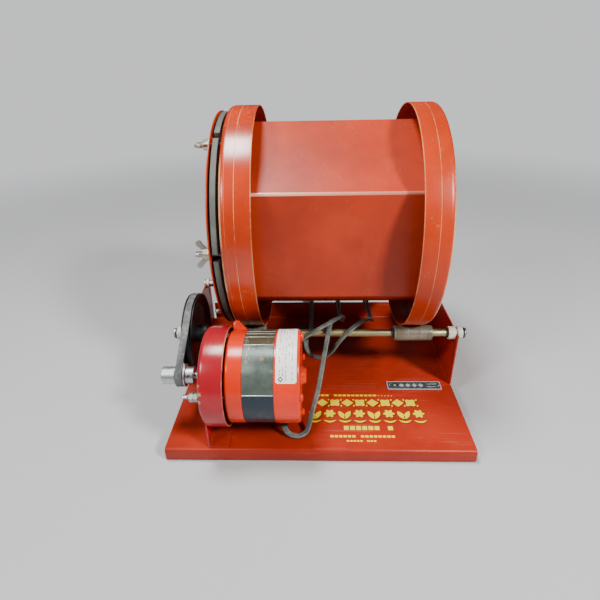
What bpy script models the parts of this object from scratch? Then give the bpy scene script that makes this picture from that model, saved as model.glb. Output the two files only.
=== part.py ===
"""Rotary rock tumbler: a hexagonal rubber-lined barrel between two round pans, rolling on a driven shaft
and an idler shaft in a folded sheet-steel base, with a small motor and a belt drive on the left.

X runs along the shafts (the lid and the belt are at -X), Y runs from front to back, Z is up.
The origin is on the floor under the middle of the machine.
"""

import math

import bmesh
import bpy
from mathutils import Matrix, Vector

MM = 0.001

# ---- driving dimensions, in millimetres -------------------------------------------------------------
GAP = 0.3                       # between neighbours that touch
SHAFT_R = 4.7625                # 3/8 in shafts
SHAFT_BORE = SHAFT_R + GAP
SLEEVE_R = 9.5                  # rubber sleeves that carry the drum
SHAFT_Z = 88.5
SHAFT_HALF_SPACING = 70.0
PAN_R = 133.35                  # 10 1/2 in pans
DRUM_Y = 35.9
DRUM_Z = SHAFT_Z + math.sqrt((PAN_R + SLEEVE_R) ** 2 - SHAFT_HALF_SPACING ** 2)
FRONT_Y = DRUM_Y - SHAFT_HALF_SPACING
REAR_Y = DRUM_Y + SHAFT_HALF_SPACING
ROLL_GAP = 0.25                 # pan to sleeve

SHEET = 1.5
FOLD_R = 3.0                    # middle of the sheet
BASE_HALF_X = 170.6
BASE_FRONT_Y = -158.4
BASE_BACK_Y = 125.0
FLOOR_TOP = 17.0
LIP_BOTTOM = 1.5
REAR_FLANGE_TOP = 44.0
PLATE_FRONT_Y = -46.4
PLATE_BACK_Y = 121.0
PLATE_TOP = 91.0
CORNER_RELIEF = 3.6             # floor corners cut back beside the plates
NOTCH_WIDTH = 12.6              # shaft notches in the side plates
FOOT_X, FOOT_FRONT_Y, FOOT_REAR_Y = 150.0, -140.0, 104.0

HEX_R = 115.7                   # across corners, from the axis
HEX_SHEET = 1.2
HEX_TURN = math.radians(1.0)
HEX_SIDES = 6
HEX_LEFT, HEX_RIGHT = -98.2, 131.0
PAN_SHEET = 1.2
PAN_CORNER = 6.0
LEFT_PAN = (-98.3, -65.8)       # closed end, open end
RIGHT_PAN = (132.5, 101.2)
LINER_WALL = 6.0
LINER_FLANGE = (-107.5, -101.5)
LINER_FLANGE_R = 127.0
LID_R = 128.0
LID = (-111.2, -110.0)
GASKET_R = 109.0
GASKET = (-109.7, -107.8)
STUD_R = 3.175
STUD_PCD_R = 115.0
STUD_END = -128.0
STUDS = 6
DRUM_SIDES = 48

MOTOR_Y, MOTOR_Z = -114.4, 85.0
MOTOR_R = 50.4
MOTOR_WALL = 1.6
MOTOR_SIDES = 28
MOTOR_SHAFT_R = 4.0
CUP_R = 54.8
CUP = (-122.0, -96.3)
LEFT_SHELL = (-96.0, -78.2)
STATOR = (-78.0, -46.2)
RIGHT_SHELL = (-46.0, -19.3)
FAN_R = 42.5
BOLT_PCD_R = 46.0
BOLT_R = 2.2
BOLT_TURN = math.radians(10.0)
BOLTS = 4

BELT_X = -153.0
DRIVEN_PITCH_R = 48.0
MOTOR_PITCH_R = 9.6
BELT_OUT, BELT_IN = 3.0, 2.8    # from the pitch line
BELT_HALF_TOP, BELT_HALF_FOOT = 4.2, 2.6
SCREW_R = 1.6
DRIVEN_SCREW_X, MOTOR_SCREW_X = -143.5, -142.2
SCREW_TURN = math.radians(58.0)     # how far the motor pulley's screw has turned from upright
WING_TURNS = (-10.0, 84.0, 40.0, 75.0, 61.0, 61.0)      # degrees

CORD_R = 3.1
CORD_STEP = 18.6                # three cord widths
CORD_EXIT_X = -39.0
CORD_DOWN = Vector((0.0, -0.35, -0.937)).normalized()
RELIEF_START, RELIEF_END = 37.5, 57.5       # from the motor's axis
COIL_CENTRE = (-52.0, 191.6)
COIL_R = 35.0
COIL_HALF_WIDTH, COIL_LOW, COIL_HIGH = 6.4, 0.2, 6.8

RED = (0.34, 0.024, 0.012)
MOTOR_RED = (0.52, 0.030, 0.012)
CUP_RED = (0.42, 0.022, 0.028)


# ---- materials --------------------------------------------------------------------------------------
def material(name, colour, roughness, metallic=0.0):
    found = bpy.data.materials.get(name)
    if found:
        return found
    made = bpy.data.materials.new(name)
    made.use_nodes = True
    shader = made.node_tree.nodes["Principled BSDF"]
    shader.inputs["Base Color"].default_value = (*colour, 1.0)
    shader.inputs["Roughness"].default_value = roughness
    shader.inputs["Metallic"].default_value = metallic
    return made


def paint():
    return material("red_enamel", RED, 0.32)


def motor_paint():
    return material("motor_enamel", MOTOR_RED, 0.3)


def steel():
    return material("bright_steel", (0.55, 0.55, 0.54), 0.3, 1.0)


def black_rubber():
    return material("black_rubber", (0.03, 0.032, 0.032), 0.7)


def cord_rubber():
    return material("cord_rubber", (0.10, 0.105, 0.095), 0.6)


def nylon():
    return material("nylon", (0.8, 0.8, 0.76), 0.45)


# ---- making objects ---------------------------------------------------------------------------------
def make(name, bm, finish, at=(0.0, 0.0, 0.0), smooth=30.0):
    """An object from a bmesh drawn in millimetres about the point `at`."""
    bmesh.ops.recalc_face_normals(bm, faces=bm.faces)
    bmesh.ops.scale(bm, vec=(MM, MM, MM), verts=bm.verts)
    mesh = bpy.data.meshes.new(name)
    bm.to_mesh(mesh)
    bm.free()
    mesh.shade_smooth()
    mesh.set_sharp_from_angle(angle=math.radians(smooth))
    mesh.materials.append(finish)
    made = bpy.data.objects.new(name, mesh)
    made.location = Vector(at) * MM
    bpy.context.collection.objects.link(made)
    return made


def tool(name, bm, at=(0.0, 0.0, 0.0)):
    """A shape that only cuts or joins another one."""
    made = make(name, bm, black_rubber(), at)
    made.hide_render = True
    made.display_type = "WIRE"
    return made


def boolean(target, shape, operation):
    step = target.modifiers.new(shape.name, "BOOLEAN")
    step.operation = operation
    step.solver = "EXACT"
    step.object = shape
    return target


def cut(target, shape):
    return boolean(target, shape, "DIFFERENCE")


def join(target, shape):
    return boolean(target, shape, "UNION")


# ---- shapes -----------------------------------------------------------------------------------------
def turned(profile, sides=24, start=0.0, sweep=math.tau):
    """A profile of (x, radius) points turned about X. A profile that starts and ends on the axis is a solid
    of revolution; any other one is taken as a closed outline."""
    bm = bmesh.new()
    whole = math.isclose(sweep, math.tau)
    count = sides if whole else sides + 1
    solid = profile[0][1] == 0.0
    rings = []
    for x, radius in profile:
        if radius == 0.0:
            rings.append([bm.verts.new((x, 0.0, 0.0))] * count)
            continue
        angles = [start + sweep * k / sides for k in range(count)]
        rings.append([bm.verts.new((x, -radius * math.cos(a), radius * math.sin(a))) for a in angles])
    pairs = list(zip(rings, rings[1:]))
    if not solid:
        pairs.append((rings[-1], rings[0]))
    for low, high in pairs:
        for k in range(sides):
            after = (k + 1) % count
            corners = [low[k], low[after], high[after], high[k]]
            bm.faces.new(list(dict.fromkeys(corners)))
    if not whole:
        bm.faces.new([ring[0] for ring in rings])
        bm.faces.new([ring[-1] for ring in reversed(rings)])
    return bm


def prism(outline, axis, low, high):
    """A closed outline pushed along an axis. Outlines are (y, z) for X, (x, z) for Y and (x, y) for Z."""
    place = {
        "X": lambda a, b, c: (c, a, b),
        "Y": lambda a, b, c: (a, c, b),
        "Z": lambda a, b, c: (a, b, c),
    }[axis]
    bm = bmesh.new()
    bottom = [bm.verts.new(place(a, b, low)) for a, b in outline]
    top = [bm.verts.new(place(a, b, high)) for a, b in outline]
    bm.faces.new(bottom)
    bm.faces.new(top)
    for k in range(len(outline)):
        after = (k + 1) % len(outline)
        bm.faces.new([bottom[k], bottom[after], top[after], top[k]])
    return bm


def block(x0, x1, y0, y1, z0, z1):
    return prism([(x0, y0), (x1, y0), (x1, y1), (x0, y1)], "Z", z0, z1)


def rod(radius, x0, x1, sides=16):
    return turned([(x0, 0.0), (x0, radius), (x1, radius), (x1, 0.0)], sides)


def ring(inner, outer, x0, x1, sides=14):
    return turned([(x0, inner), (x0, outer), (x1, outer), (x1, inner)], sides)


def polygon(sides, radius, turn=0.0):
    """Corners in (y, z), the angle counted from the front towards up."""
    angles = [turn + math.tau * k / sides for k in range(sides)]
    return [(-radius * math.cos(a), radius * math.sin(a)) for a in angles]


def notch_outline(width, centre, top, sides=8):
    """A U-shaped notch in (y, z): a half round bottom about `centre`, straight sides up to `top`."""
    y, z = centre
    half = width / 2
    arc = [math.pi + math.pi * k / sides for k in range(sides + 1)]
    points = [(y + half * math.cos(a), z + half * math.sin(a)) for a in arc]
    return points + [(y + half, top), (y - half, top)]


def bent_strip(corners, radius, thickness, steps=4):
    """The outline of a sheet folded along a line of corners, with round folds."""
    points = [(Vector(corners[0]), (Vector(corners[1]) - Vector(corners[0])).normalized())]
    for before, here, after in zip(corners, corners[1:], corners[2:]):
        before, here, after = Vector(before), Vector(here), Vector(after)
        come, leave = (here - before).normalized(), (after - here).normalized()
        turn = math.copysign(1.0, come.cross(leave))
        angle = come.angle(leave)
        start = here - come * radius * math.tan(angle / 2)
        centre = start + come.orthogonal() * radius * turn
        for k in range(steps + 1):
            spin = Matrix.Rotation(turn * angle * k / steps, 2)
            points.append((centre + spin @ (start - centre), spin @ come))
    last = (Vector(corners[-1]) - Vector(corners[-2])).normalized()
    points.append((Vector(corners[-1]), last))
    left = [tuple(p + d.orthogonal() * thickness / 2) for p, d in points]
    right = [tuple(p - d.orthogonal() * thickness / 2) for p, d in points]
    return left + right[::-1]


def radial(distance, angle):
    """(y, z) at an angle counted from the front towards up."""
    return -distance * math.cos(angle), distance * math.sin(angle)


def stand_up(bm):
    """Turns a shape drawn along X so that it stands along Z."""
    bmesh.ops.rotate(bm, matrix=Matrix.Rotation(-math.pi / 2, 3, "Y"), verts=bm.verts)
    return bm


# ---- base -------------------------------------------------------------------------------------------
def base_frame():
    middle = FLOOR_TOP - SHEET / 2
    folded = bent_strip(
        [
            (BASE_FRONT_Y + SHEET / 2, LIP_BOTTOM),
            (BASE_FRONT_Y + SHEET / 2, middle),
            (BASE_BACK_Y - SHEET / 2, middle),
            (BASE_BACK_Y - SHEET / 2, REAR_FLANGE_TOP),
        ],
        FOLD_R,
        SHEET,
    )
    frame = make("base_frame", prism(folded, "X", -BASE_HALF_X, BASE_HALF_X), paint())
    for side, word in ((-1, "left"), (1, "right")):
        near, far = BASE_HALF_X - CORNER_RELIEF, BASE_HALF_X + 2.0
        relief = block(side * near, side * far, PLATE_FRONT_Y, BASE_BACK_Y + 2.0, 0.0, 60.0)
        cut(frame, tool(f"relief_{word}", relief))
    for side, word in ((-1, "left"), (1, "right")):
        middle_x = side * (BASE_HALF_X - SHEET / 2)
        outline = bent_strip(
            [(side * 150.0, middle), (middle_x, middle), (middle_x, PLATE_TOP)], FOLD_R, SHEET
        )
        join(frame, tool(f"side_plate_{word}", prism(outline, "Y", PLATE_FRONT_Y, PLATE_BACK_Y)))
    for y, word in ((FRONT_Y, "front"), (REAR_Y, "rear")):
        notch = notch_outline(NOTCH_WIDTH, (y, SHAFT_Z), PLATE_TOP + 6.0)
        cut(frame, tool(f"notch_{word}", prism(notch, "X", -BASE_HALF_X - 2.0, BASE_HALF_X + 2.0)))
    return frame


def feet():
    top = FLOOR_TOP - SHEET - GAP
    profile = [(0.0, 0.0), (0.0, 7.5), (3.0, 9.0), (top, 9.5), (top, 0.0)]
    for y, row in ((FOOT_FRONT_Y, "front"), (FOOT_REAR_Y, "rear")):
        for x, side in ((-FOOT_X, "left"), (FOOT_X, "right")):
            make(f"foot_{row}_{side}", stand_up(turned(profile, 14)), black_rubber(), (x, y, 0.0))


def nameplate():
    low, high = FLOOR_TOP + GAP, FLOOR_TOP + GAP + 0.8
    etched = material("etched_plate", (0.05, 0.05, 0.05), 0.35, 0.8)
    plate = make("nameplate", block(88.5, 157.0, -57.4, -41.8, low, high), etched)
    for x, word in ((91.5, "left"), (154.0, "right")):
        rivet = stand_up(turned([(0.0, 0.0), (0.0, 1.6), (1.0, 0.9), (1.2, 0.0)], 12))
        join(plate, tool(f"plate_rivet_{word}", rivet, (x, -49.6, high - 0.4)))
    return plate


# ---- shafts and what is on them -----------------------------------------------------------------------
def sleeves(kind, at):
    """The two rubber sleeves on a shaft, one under each pan."""
    tube = material("sleeve_rubber", (0.22, 0.16, 0.11), 0.5)
    make(f"{kind}_sleeve_left", ring(SHAFT_BORE, SLEEVE_R, -112.0, -65.0), tube, at)
    make(f"{kind}_sleeve_right", ring(SHAFT_BORE, SLEEVE_R, 93.5, 140.0), tube, at)


def front_shaft_group():
    at, bore = (0, FRONT_Y, SHAFT_Z), SHAFT_BORE
    spool = [(160.0, bore), (160.0, 8.0), (168.7, 8.0), (168.7, 5.9)]
    spool += [(171.0, 5.9), (171.0, 8.0), (177.2, 8.0), (177.2, bore)]
    cap = [(182.5, 0.0), (182.3, 2.6), (181.9, 5.7), (181.0, 6.5), (179.6, 6.5), (179.6, bore)]
    cap += [(181.3, bore), (181.3, 0.0)]
    brassy = material("brassy_steel", (0.55, 0.40, 0.22), 0.35, 1.0)
    make("front_shaft", rod(SHAFT_R, -180.8, 180.8), brassy, at)
    sleeves("drive", at)
    make("sleeve_ring", ring(bore, 6.4, 90.4, 93.2), black_rubber(), at)
    for side, word in ((-1, "left"), (1, "right")):
        make(f"front_bushing_{word}", turned([(side * x, r) for x, r in spool], 14), nylon(), at)
        make(f"spacer_{word}", ring(bore, 6.2, side * 157.9, side * 159.7), black_rubber(), at)
        make(f"end_washer_{word}", ring(bore, 6.8, side * 177.5, side * 179.3), black_rubber(), at)
        make(f"push_cap_{word}", turned([(side * x, r) for x, r in cap], 12), steel(), at)


def rear_shaft_group():
    at, bore = (0, REAR_Y, SHAFT_Z), SHAFT_BORE
    liner = [(166.0, bore), (166.0, 7.2), (168.7, 7.2), (168.7, 5.9), (171.4, 5.9), (171.4, bore)]
    make("rear_shaft", rod(SHAFT_R, -174.0, 174.0), steel(), at)
    sleeves("idler", at)
    for side, word in ((-1, "left"), (1, "right")):
        make(f"rear_bushing_{word}", turned([(side * x, r) for x, r in liner], 14), nylon(), at)
        make(f"rear_clip_{word}", ring(bore, 6.6, side * 171.8, side * 173.0), steel(), at)


def v_groove(x, rim_r, foot_r):
    """The rim of a belt pulley, from its left face to its right face."""
    left = [(x - 6.4, rim_r), (x - 4.9, rim_r), (x - 3.0, foot_r)]
    return left + [(2 * x - a, r) for a, r in reversed(left)]


def driven_pulley():
    at, bore = (0, FRONT_Y, SHAFT_Z), SHAFT_BORE
    rim = v_groove(BELT_X, DRIVEN_PITCH_R + 2.2, DRIVEN_PITCH_R - BELT_IN - 1.0)
    profile = [(-157.6, bore), (-157.6, 11.0), (-154.6, 12.5), (-154.6, 39.0)] + rim
    profile += [(-151.4, 39.0), (-151.4, 11.0), (-139.0, 11.0), (-139.0, bore)]
    black = material("pulley_black", (0.02, 0.02, 0.022), 0.45, 0.6)
    wheel = make("driven_pulley", turned(profile, 32), black, at)
    return cut(wheel, screw_hole("driven_screw_hole", DRIVEN_SCREW_X, 14.0, 0.0, at))


def screw_hole(name, x, end, turn, at):
    """A radial hole from the bore out, `turn` from upright about X."""
    hole = stand_up(rod(SCREW_R + 0.4, 3.5, end, 10))
    bmesh.ops.rotate(hole, matrix=Matrix.Rotation(turn, 3, "X"), verts=hole.verts)
    bmesh.ops.translate(hole, vec=(x, 0, 0), verts=hole.verts)
    return tool(name, hole, at)


def set_screw(name, x, start, end, turn, at):
    """A headless screw that points at the shaft, `turn` from upright about X."""
    bm = stand_up(rod(SCREW_R, start, end, 10))
    bmesh.ops.rotate(bm, matrix=Matrix.Rotation(turn, 3, "X"), verts=bm.verts)
    bmesh.ops.translate(bm, vec=(x, 0, 0), verts=bm.verts)
    return make(name, bm, steel(), at)


def belt_line(extra, steps_big=24, steps_small=8):
    """The loop round both pulleys in (y, z), `extra` outside the pitch line."""
    big, small = Vector((FRONT_Y, SHAFT_Z)), Vector((MOTOR_Y, MOTOR_Z))
    across = big - small
    lean = math.atan2(across.y, across.x)
    half = math.acos((DRIVEN_PITCH_R - MOTOR_PITCH_R) / across.length)
    points = []
    for k in range(steps_big + 1):
        a = lean - (math.pi - half) + 2 * (math.pi - half) * k / steps_big
        points.append(big + (DRIVEN_PITCH_R + extra) * Vector((math.cos(a), math.sin(a))))
    for k in range(steps_small + 1):
        a = lean + (math.pi - half) + 2 * half * k / steps_small
        points.append(small + (MOTOR_PITCH_R + extra) * Vector((math.cos(a), math.sin(a))))
    return points


def drive_belt():
    outer, inner = belt_line(BELT_OUT), belt_line(-BELT_IN)
    bm = bmesh.new()
    loops = []
    top, foot = BELT_HALF_TOP, BELT_HALF_FOOT
    for shift, line in ((-top, outer), (top, outer), (foot, inner), (-foot, inner)):
        loops.append([bm.verts.new((BELT_X + shift, p.x, p.y)) for p in line])
    for a, b in zip(loops, loops[1:] + loops[:1]):
        for k in range(len(outer)):
            after = (k + 1) % len(outer)
            bm.faces.new([a[k], a[after], b[after], b[k]])
    return make("drive_belt", bm, material("belt_rubber", (0.07, 0.075, 0.07), 0.75))


# ---- motor ------------------------------------------------------------------------------------------
def motor_at(x=0.0):
    return (x, MOTOR_Y, MOTOR_Z)


def bolt_spots():
    return [radial(BOLT_PCD_R, BOLT_TURN + math.tau * k / BOLTS) for k in range(BOLTS)]


def drill_for_bolts(target, x0, x1, word, every=1):
    for k, (y, z) in enumerate(bolt_spots()):
        if k % every:
            continue
        hole = rod(BOLT_R + 0.5, x0, x1, 8)
        bmesh.ops.translate(hole, vec=(0, y, z), verts=hole.verts)
        cut(target, tool(f"{word}_bolt_hole_{k + 1}", hole, motor_at()))


def motor_mount():
    """The deep cup that holds the motor's left end, with its upright and foot."""
    left, right = CUP
    wall, corner = MOTOR_WALL, 5.0
    turns = [math.pi / 6 * k for k in range(4)]
    outer = [(right, CUP_R)]
    outer += [(left + corner * (1 - math.sin(a)), CUP_R - corner * (1 - math.cos(a))) for a in turns]
    inner = [(left, 12.0), (left + wall, 12.0), (left + wall, CUP_R - corner)]
    inner += [(left + 2.6, CUP_R - 2.6), (left + corner, CUP_R - wall), (right, CUP_R - wall)]
    enamel = material("cup_enamel", CUP_RED, 0.3)
    cup = make("motor_mount", turned(outer + inner, MOTOR_SIDES), enamel, motor_at())
    upright_x = left + wall / 2
    foot_z = FLOOR_TOP + GAP + wall / 2
    outline = bent_strip([(-99.0, foot_z), (upright_x, foot_z), (upright_x, 58.0)], FOLD_R, wall)
    join(cup, tool("mount_foot", prism(outline, "Y", -155.0, -74.0)))
    drill_for_bolts(cup, left - 1.0, left + 4.0, "mount", every=2)
    return cup


def motor_shell(name, closed, mouth, boss):
    """A drawn end shell, with the x of its end face, of its open edge and of its hub face."""
    way = math.copysign(1.0, mouth - closed)
    inside = closed + MOTOR_WALL * way
    hub, bore = 9.5, MOTOR_SHAFT_R + 0.6
    profile = [(mouth, MOTOR_R), (closed + 3.0 * way, MOTOR_R), (closed, MOTOR_R - 3.0)]
    profile += [(closed, hub + 1.0), (boss, hub - 0.8), (boss, bore), (inside, bore), (inside, MOTOR_R - 5.0)]
    profile += [(closed + 3.5 * way, MOTOR_R - MOTOR_WALL), (mouth, MOTOR_R - MOTOR_WALL)]
    return make(name, turned(profile, MOTOR_SIDES), motor_paint(), motor_at())


def motor_left_shell():
    shell = motor_shell("motor_left_shell", LEFT_SHELL[0], LEFT_SHELL[1], LEFT_SHELL[0] - 2.0)
    wedge = [(-95.0, 48.9), (-95.0, 57.5), (-92.5, 60.5), (-89.0, 60.5), (-79.5, 50.5), (-79.5, 48.9)]
    ear = prism(wedge, "Y", -7.0, 7.0)
    bmesh.ops.rotate(ear, matrix=Matrix.Rotation(-math.radians(38.0), 3, "X"), verts=ear.verts)
    join(shell, tool("motor_ear", ear, motor_at()))
    drill_for_bolts(shell, -98.0, -90.0, "left_shell")
    return shell


def motor_right_shell():
    shell = motor_shell("motor_right_shell", RIGHT_SHELL[1], RIGHT_SHELL[0], RIGHT_SHELL[1] + 5.6)
    drill_for_bolts(shell, -28.0, -17.0, "right_shell")
    hole = rod(6.0, 42.0, 56.0, 14)
    return cut(shell, tool("cord_hole", turn_to_cord(hole), motor_at(CORD_EXIT_X)))


def stator():
    steel_sheets = material("lamination", (0.07, 0.085, 0.075), 0.35, 0.5)
    core = make("stator", ring(27.0, MOTOR_R - 0.3, *STATOR, MOTOR_SIDES), steel_sheets, motor_at())
    drill_for_bolts(core, STATOR[0] - 2.0, STATOR[1] + 2.0, "stator")
    for k, (y, z) in enumerate(coil_bar_spots()):
        slot = rod(3.8, STATOR[0] - 2.0, STATOR[1] + 2.0, 8)
        bmesh.ops.translate(slot, vec=(0, y, z), verts=slot.verts)
        cut(core, tool(f"winding_slot_{k + 1}", slot, motor_at()))
    return core


def coil_bar_spots():
    return [radial(33.0, BOLT_TURN + math.pi / 4 + math.pi / 2 * k) for k in range(4)]


def stator_winding():
    """The two end turns and the bundles that run through the stator's slots."""
    copper = material("enamelled_copper", (0.45, 0.16, 0.05), 0.4, 0.8)
    left = [(-88.0, 30.0), (-88.0, 35.0), (-79.0, 36.2), (-79.0, 29.0)]
    right = [(-45.2, 29.0), (-45.2, 36.2), (-37.0, 35.0), (-37.0, 30.0)]
    winding = make("stator_winding", turned(left, 18), copper, motor_at())
    join(winding, tool("right_end_turns", turned(right, 18), motor_at()))
    for k, (y, z) in enumerate(coil_bar_spots()):
        bar = rod(3.0, -82.0, -42.0, 8)
        bmesh.ops.translate(bar, vec=(0, y, z), verts=bar.verts)
        join(winding, tool(f"slot_bundle_{k + 1}", bar, motor_at()))
    return winding


def rotor():
    shaft, core = MOTOR_SHAFT_R, 26.2
    profile = [(-168.0, 0.0), (-168.0, shaft - 0.5), (-167.5, shaft), (-77.0, shaft), (-77.0, core)]
    profile += [(-47.0, core), (-47.0, shaft), (-16.5, shaft), (-16.0, shaft - 0.5), (-16.0, 0.0)]
    return make("rotor", turned(profile, 16), steel(), motor_at())


def cooling_fan(blades=6):
    bore = MOTOR_SHAFT_R + GAP
    disc = [(-106.0, bore), (-106.0, 9.0), (-105.0, FAN_R), (-103.8, FAN_R), (-103.8, 11.0)]
    disc += [(-99.5, 9.0), (-99.5, bore)]
    aluminium = material("fan_aluminium", (0.5, 0.5, 0.5), 0.4, 1.0)
    fan = make("cooling_fan", turned(disc, 18), aluminium, motor_at())
    for k in range(blades):
        blade = block(-115.0, -105.2, -0.7, 0.7, 20.0, FAN_R - 1.0)
        bmesh.ops.rotate(blade, matrix=Matrix.Rotation(math.tau * k / blades, 3, "X"), verts=blade.verts)
        join(fan, tool(f"fan_blade_{k + 1}", blade, motor_at()))
    return fan


def motor_bearings():
    bronze = material("bronze", (0.45, 0.28, 0.12), 0.4, 1.0)
    inner = MOTOR_SHAFT_R + 0.1
    make("motor_bearing_left", ring(inner, 8.5, -93.9, -89.0, 16), bronze, motor_at())
    make("motor_bearing_right", ring(inner, 8.5, -27.0, -21.4, 16), bronze, motor_at())


def through_bolts():
    """Each long motor bolt with its nuts, as one piece. Every second one also holds the cup and carries two
    nuts outside it; the others only hold the shells and end inside the cup."""
    for k, (y, z) in enumerate(bolt_spots()):
        name = f"through_bolt_{k + 1}"
        end, nuts = -139.0, ((-126.6, -122.4, "nut"), (-131.4, -127.0, "lock_nut"))
        if k % 2:
            end, nuts = -102.0, ((-100.6, -96.4, "nut"),)
        profile = [(end, 0.0), (end, BOLT_R), (-19.0, BOLT_R), (-19.0, 4.2), (-17.0, 4.0)]
        profile += [(-16.2, 2.6), (-16.2, 0.0)]
        bolt = make(name, turned(profile, 8), steel(), motor_at())
        bolt.location += Vector((0, y, z)) * MM
        for low, high, word in nuts:
            nut = prism(polygon(6, 5.2, 0.3), "X", low, high)
            join(bolt, tool(f"{name}_{word}", nut, (0, MOTOR_Y + y, MOTOR_Z + z)))


def motor_label():
    low, high = MOTOR_R + GAP, MOTOR_R + GAP + 0.4
    white = material("label_white", (0.75, 0.75, 0.72), 0.5)
    start, sweep = math.radians(29.0), math.radians(104.0)
    band = [(-43.8, low), (-43.8, high), (-22.6, high), (-22.6, low)]
    return make("motor_label", turned(band, 18, start, sweep), white, motor_at())


def motor_pulley():
    bore = MOTOR_SHAFT_R + GAP
    foot = MOTOR_PITCH_R - BELT_IN - 0.6
    profile = [(-173.0, 0.0), (-173.0, 9.2), (-172.4, 9.8), (-158.6, 9.8), (-158.0, 10.6)]
    profile += [(BELT_X - 3.0, foot), (BELT_X + 3.0, foot)]
    profile += [(-148.1, 12.8), (-146.5, 12.8), (-146.5, 9.8), (-137.8, 9.8), (-137.8, bore)]
    profile += [(-170.0, bore), (-170.0, 0.0)]
    aluminium = material("turned_aluminium", (0.62, 0.62, 0.6), 0.35, 1.0)
    wheel = make("motor_pulley", turned(profile, 20), aluminium, motor_at())
    return cut(wheel, screw_hole("motor_screw_hole", MOTOR_SCREW_X, 12.0, SCREW_TURN, motor_at()))


# ---- power cord -------------------------------------------------------------------------------------
def turn_to_cord(bm):
    """Turns a shape drawn along X so that it points down the cord's exit."""
    spin = Vector((1, 0, 0)).rotation_difference(CORD_DOWN)
    bmesh.ops.rotate(bm, matrix=spin.to_matrix(), cent=(0, 0, 0), verts=bm.verts)
    return bm


def strain_relief():
    bore = CORD_R + GAP
    length = RELIEF_END - RELIEF_START
    seat = MOTOR_R + 0.5 - RELIEF_START
    profile = [(0.0, bore), (0.0, 5.4), (seat, 5.4), (seat, 7.2), (seat + 2.2, 7.2), (seat + 2.6, 5.8)]
    profile += [(length, 4.4), (length, bore)]
    bm = turned([(RELIEF_START + x, r) for x, r in profile], 14)
    return make("strain_relief", turn_to_cord(bm), black_rubber(), motor_at(CORD_EXIT_X))


# The cord's route, in order: out of the motor, over the front shaft, a turn under the drum, forward below the
# shaft, up behind the motor and over the shaft again, over the rear flange, a turn on the floor behind, back
# over the flange, a loop round the front shaft, and out over the rear flange to the coil.
CORD_ROUTE = [
    *[tuple(Vector((CORD_EXIT_X, MOTOR_Y, MOTOR_Z)) + CORD_DOWN * r) for r in (41.0, 49.0, 57.0)],
    (-37.5, -136.7, 26.0), (-33.3, -138.9, 22.0), (-27.4, -140.5, 20.6), (-21.4, -140.2, 20.6),
    (-16.2, -137.2, 21.2), (-12.9, -132.1, 22.6), (-7.5, -117.5, 36.5),
    (0.0, -94.0, 53.5), (6.5, -66.0, 76.0), (11.4, -47.5, 92.0), (14.0, -34.0, 99.2),
    (16.0, -20.0, 96.5), (17.5, 0.0, 83.0), (17.0, 28.0, 59.0), (13.0, 54.0, 35.0), (5.0, 74.0, 22.5),
    (-8.0, 86.0, 20.5), (-26.0, 86.0, 20.5), (-41.0, 72.0, 20.5), (-50.0, 45.0, 20.5), (-54.0, 10.0, 20.5),
    (-56.0, -22.0, 20.5), (-58.5, -40.0, 24.0), (-58.5, -51.5, 36.0), (-52.0, -54.5, 54.0),
    (-40.0, -55.0, 73.0), (-27.0, -56.5, 86.0), (-14.0, -53.0, 95.5), (0.0, -46.0, 101.8),
    (13.5, -38.2, 105.6), (23.0, -27.0, 105.0), (30.0, -13.0, 100.0), (33.0, 4.0, 88.0), (33.5, 28.0, 68.5),
    (33.0, 60.0, 53.0), (32.6, 95.0, 47.7), (32.6, 121.0, 49.0), (32.6, 136.0, 44.0), (32.8, 147.0, 29.0),
    (33.2, 153.0, 12.0), (35.5, 164.0, 4.0), (43.0, 179.0, 3.5), (55.0, 185.0, 3.5), (67.0, 179.0, 3.5),
    (75.0, 164.0, 4.0), (77.2, 153.0, 12.0), (77.6, 147.0, 29.0), (77.6, 136.0, 44.0), (77.6, 121.0, 49.0),
    (77.6, 90.0, 48.5), (77.0, 55.0, 56.0), (74.0, 22.0, 72.0), (68.0, -4.0, 90.0), (58.0, -21.5, 99.0),
    (47.0, -34.1, 99.5), (35.5, -43.6, 94.8), (25.0, -48.2, 84.0), (16.5, -49.0, 70.5), (5.5, -48.4, 61.5),
    (-7.0, -46.0, 61.5), (-15.0, -39.0, 68.5), (-15.0, -25.0, 75.0), (-11.5, -8.0, 70.0), (-10.0, 22.0, 56.0),
    (-9.2, 60.0, 48.5), (-9.2, 95.0, 47.7), (-9.2, 121.0, 49.0), (-9.4, 136.0, 44.0), (-10.0, 147.0, 29.0),
    (-12.0, 153.0, 13.0), (-13.6, 159.0, 5.6), (-14.8, 166.2, 3.6),
]


def smooth_line(points, spacing):
    """Points at an even spacing along a curve through the given ones."""
    knots = [Vector(p) for p in points]
    knots = [2 * knots[0] - knots[1]] + knots + [2 * knots[-1] - knots[-2]]
    fine = []
    for a, b, c, d in zip(knots, knots[1:], knots[2:], knots[3:]):
        for k in range(24):
            t = k / 24
            bend, ease = 2 * a - 5 * b + 4 * c - d, 3 * b - a - 3 * c + d
            fine.append(0.5 * (2 * b + (c - a) * t + bend * t ** 2 + ease * t ** 3))
    fine.append(knots[-2])
    walked = [0.0]
    for a, b in zip(fine, fine[1:]):
        walked.append(walked[-1] + (b - a).length)
    count = max(2, round(walked[-1] / spacing))
    line, at = [], 0
    for k in range(count + 1):
        goal = walked[-1] * k / count
        while at < len(fine) - 2 and walked[at + 1] < goal:
            at += 1
        share = (goal - walked[at]) / max(walked[at + 1] - walked[at], 1e-9)
        line.append(fine[at].lerp(fine[at + 1], min(share, 1.0)))
    return line


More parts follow.
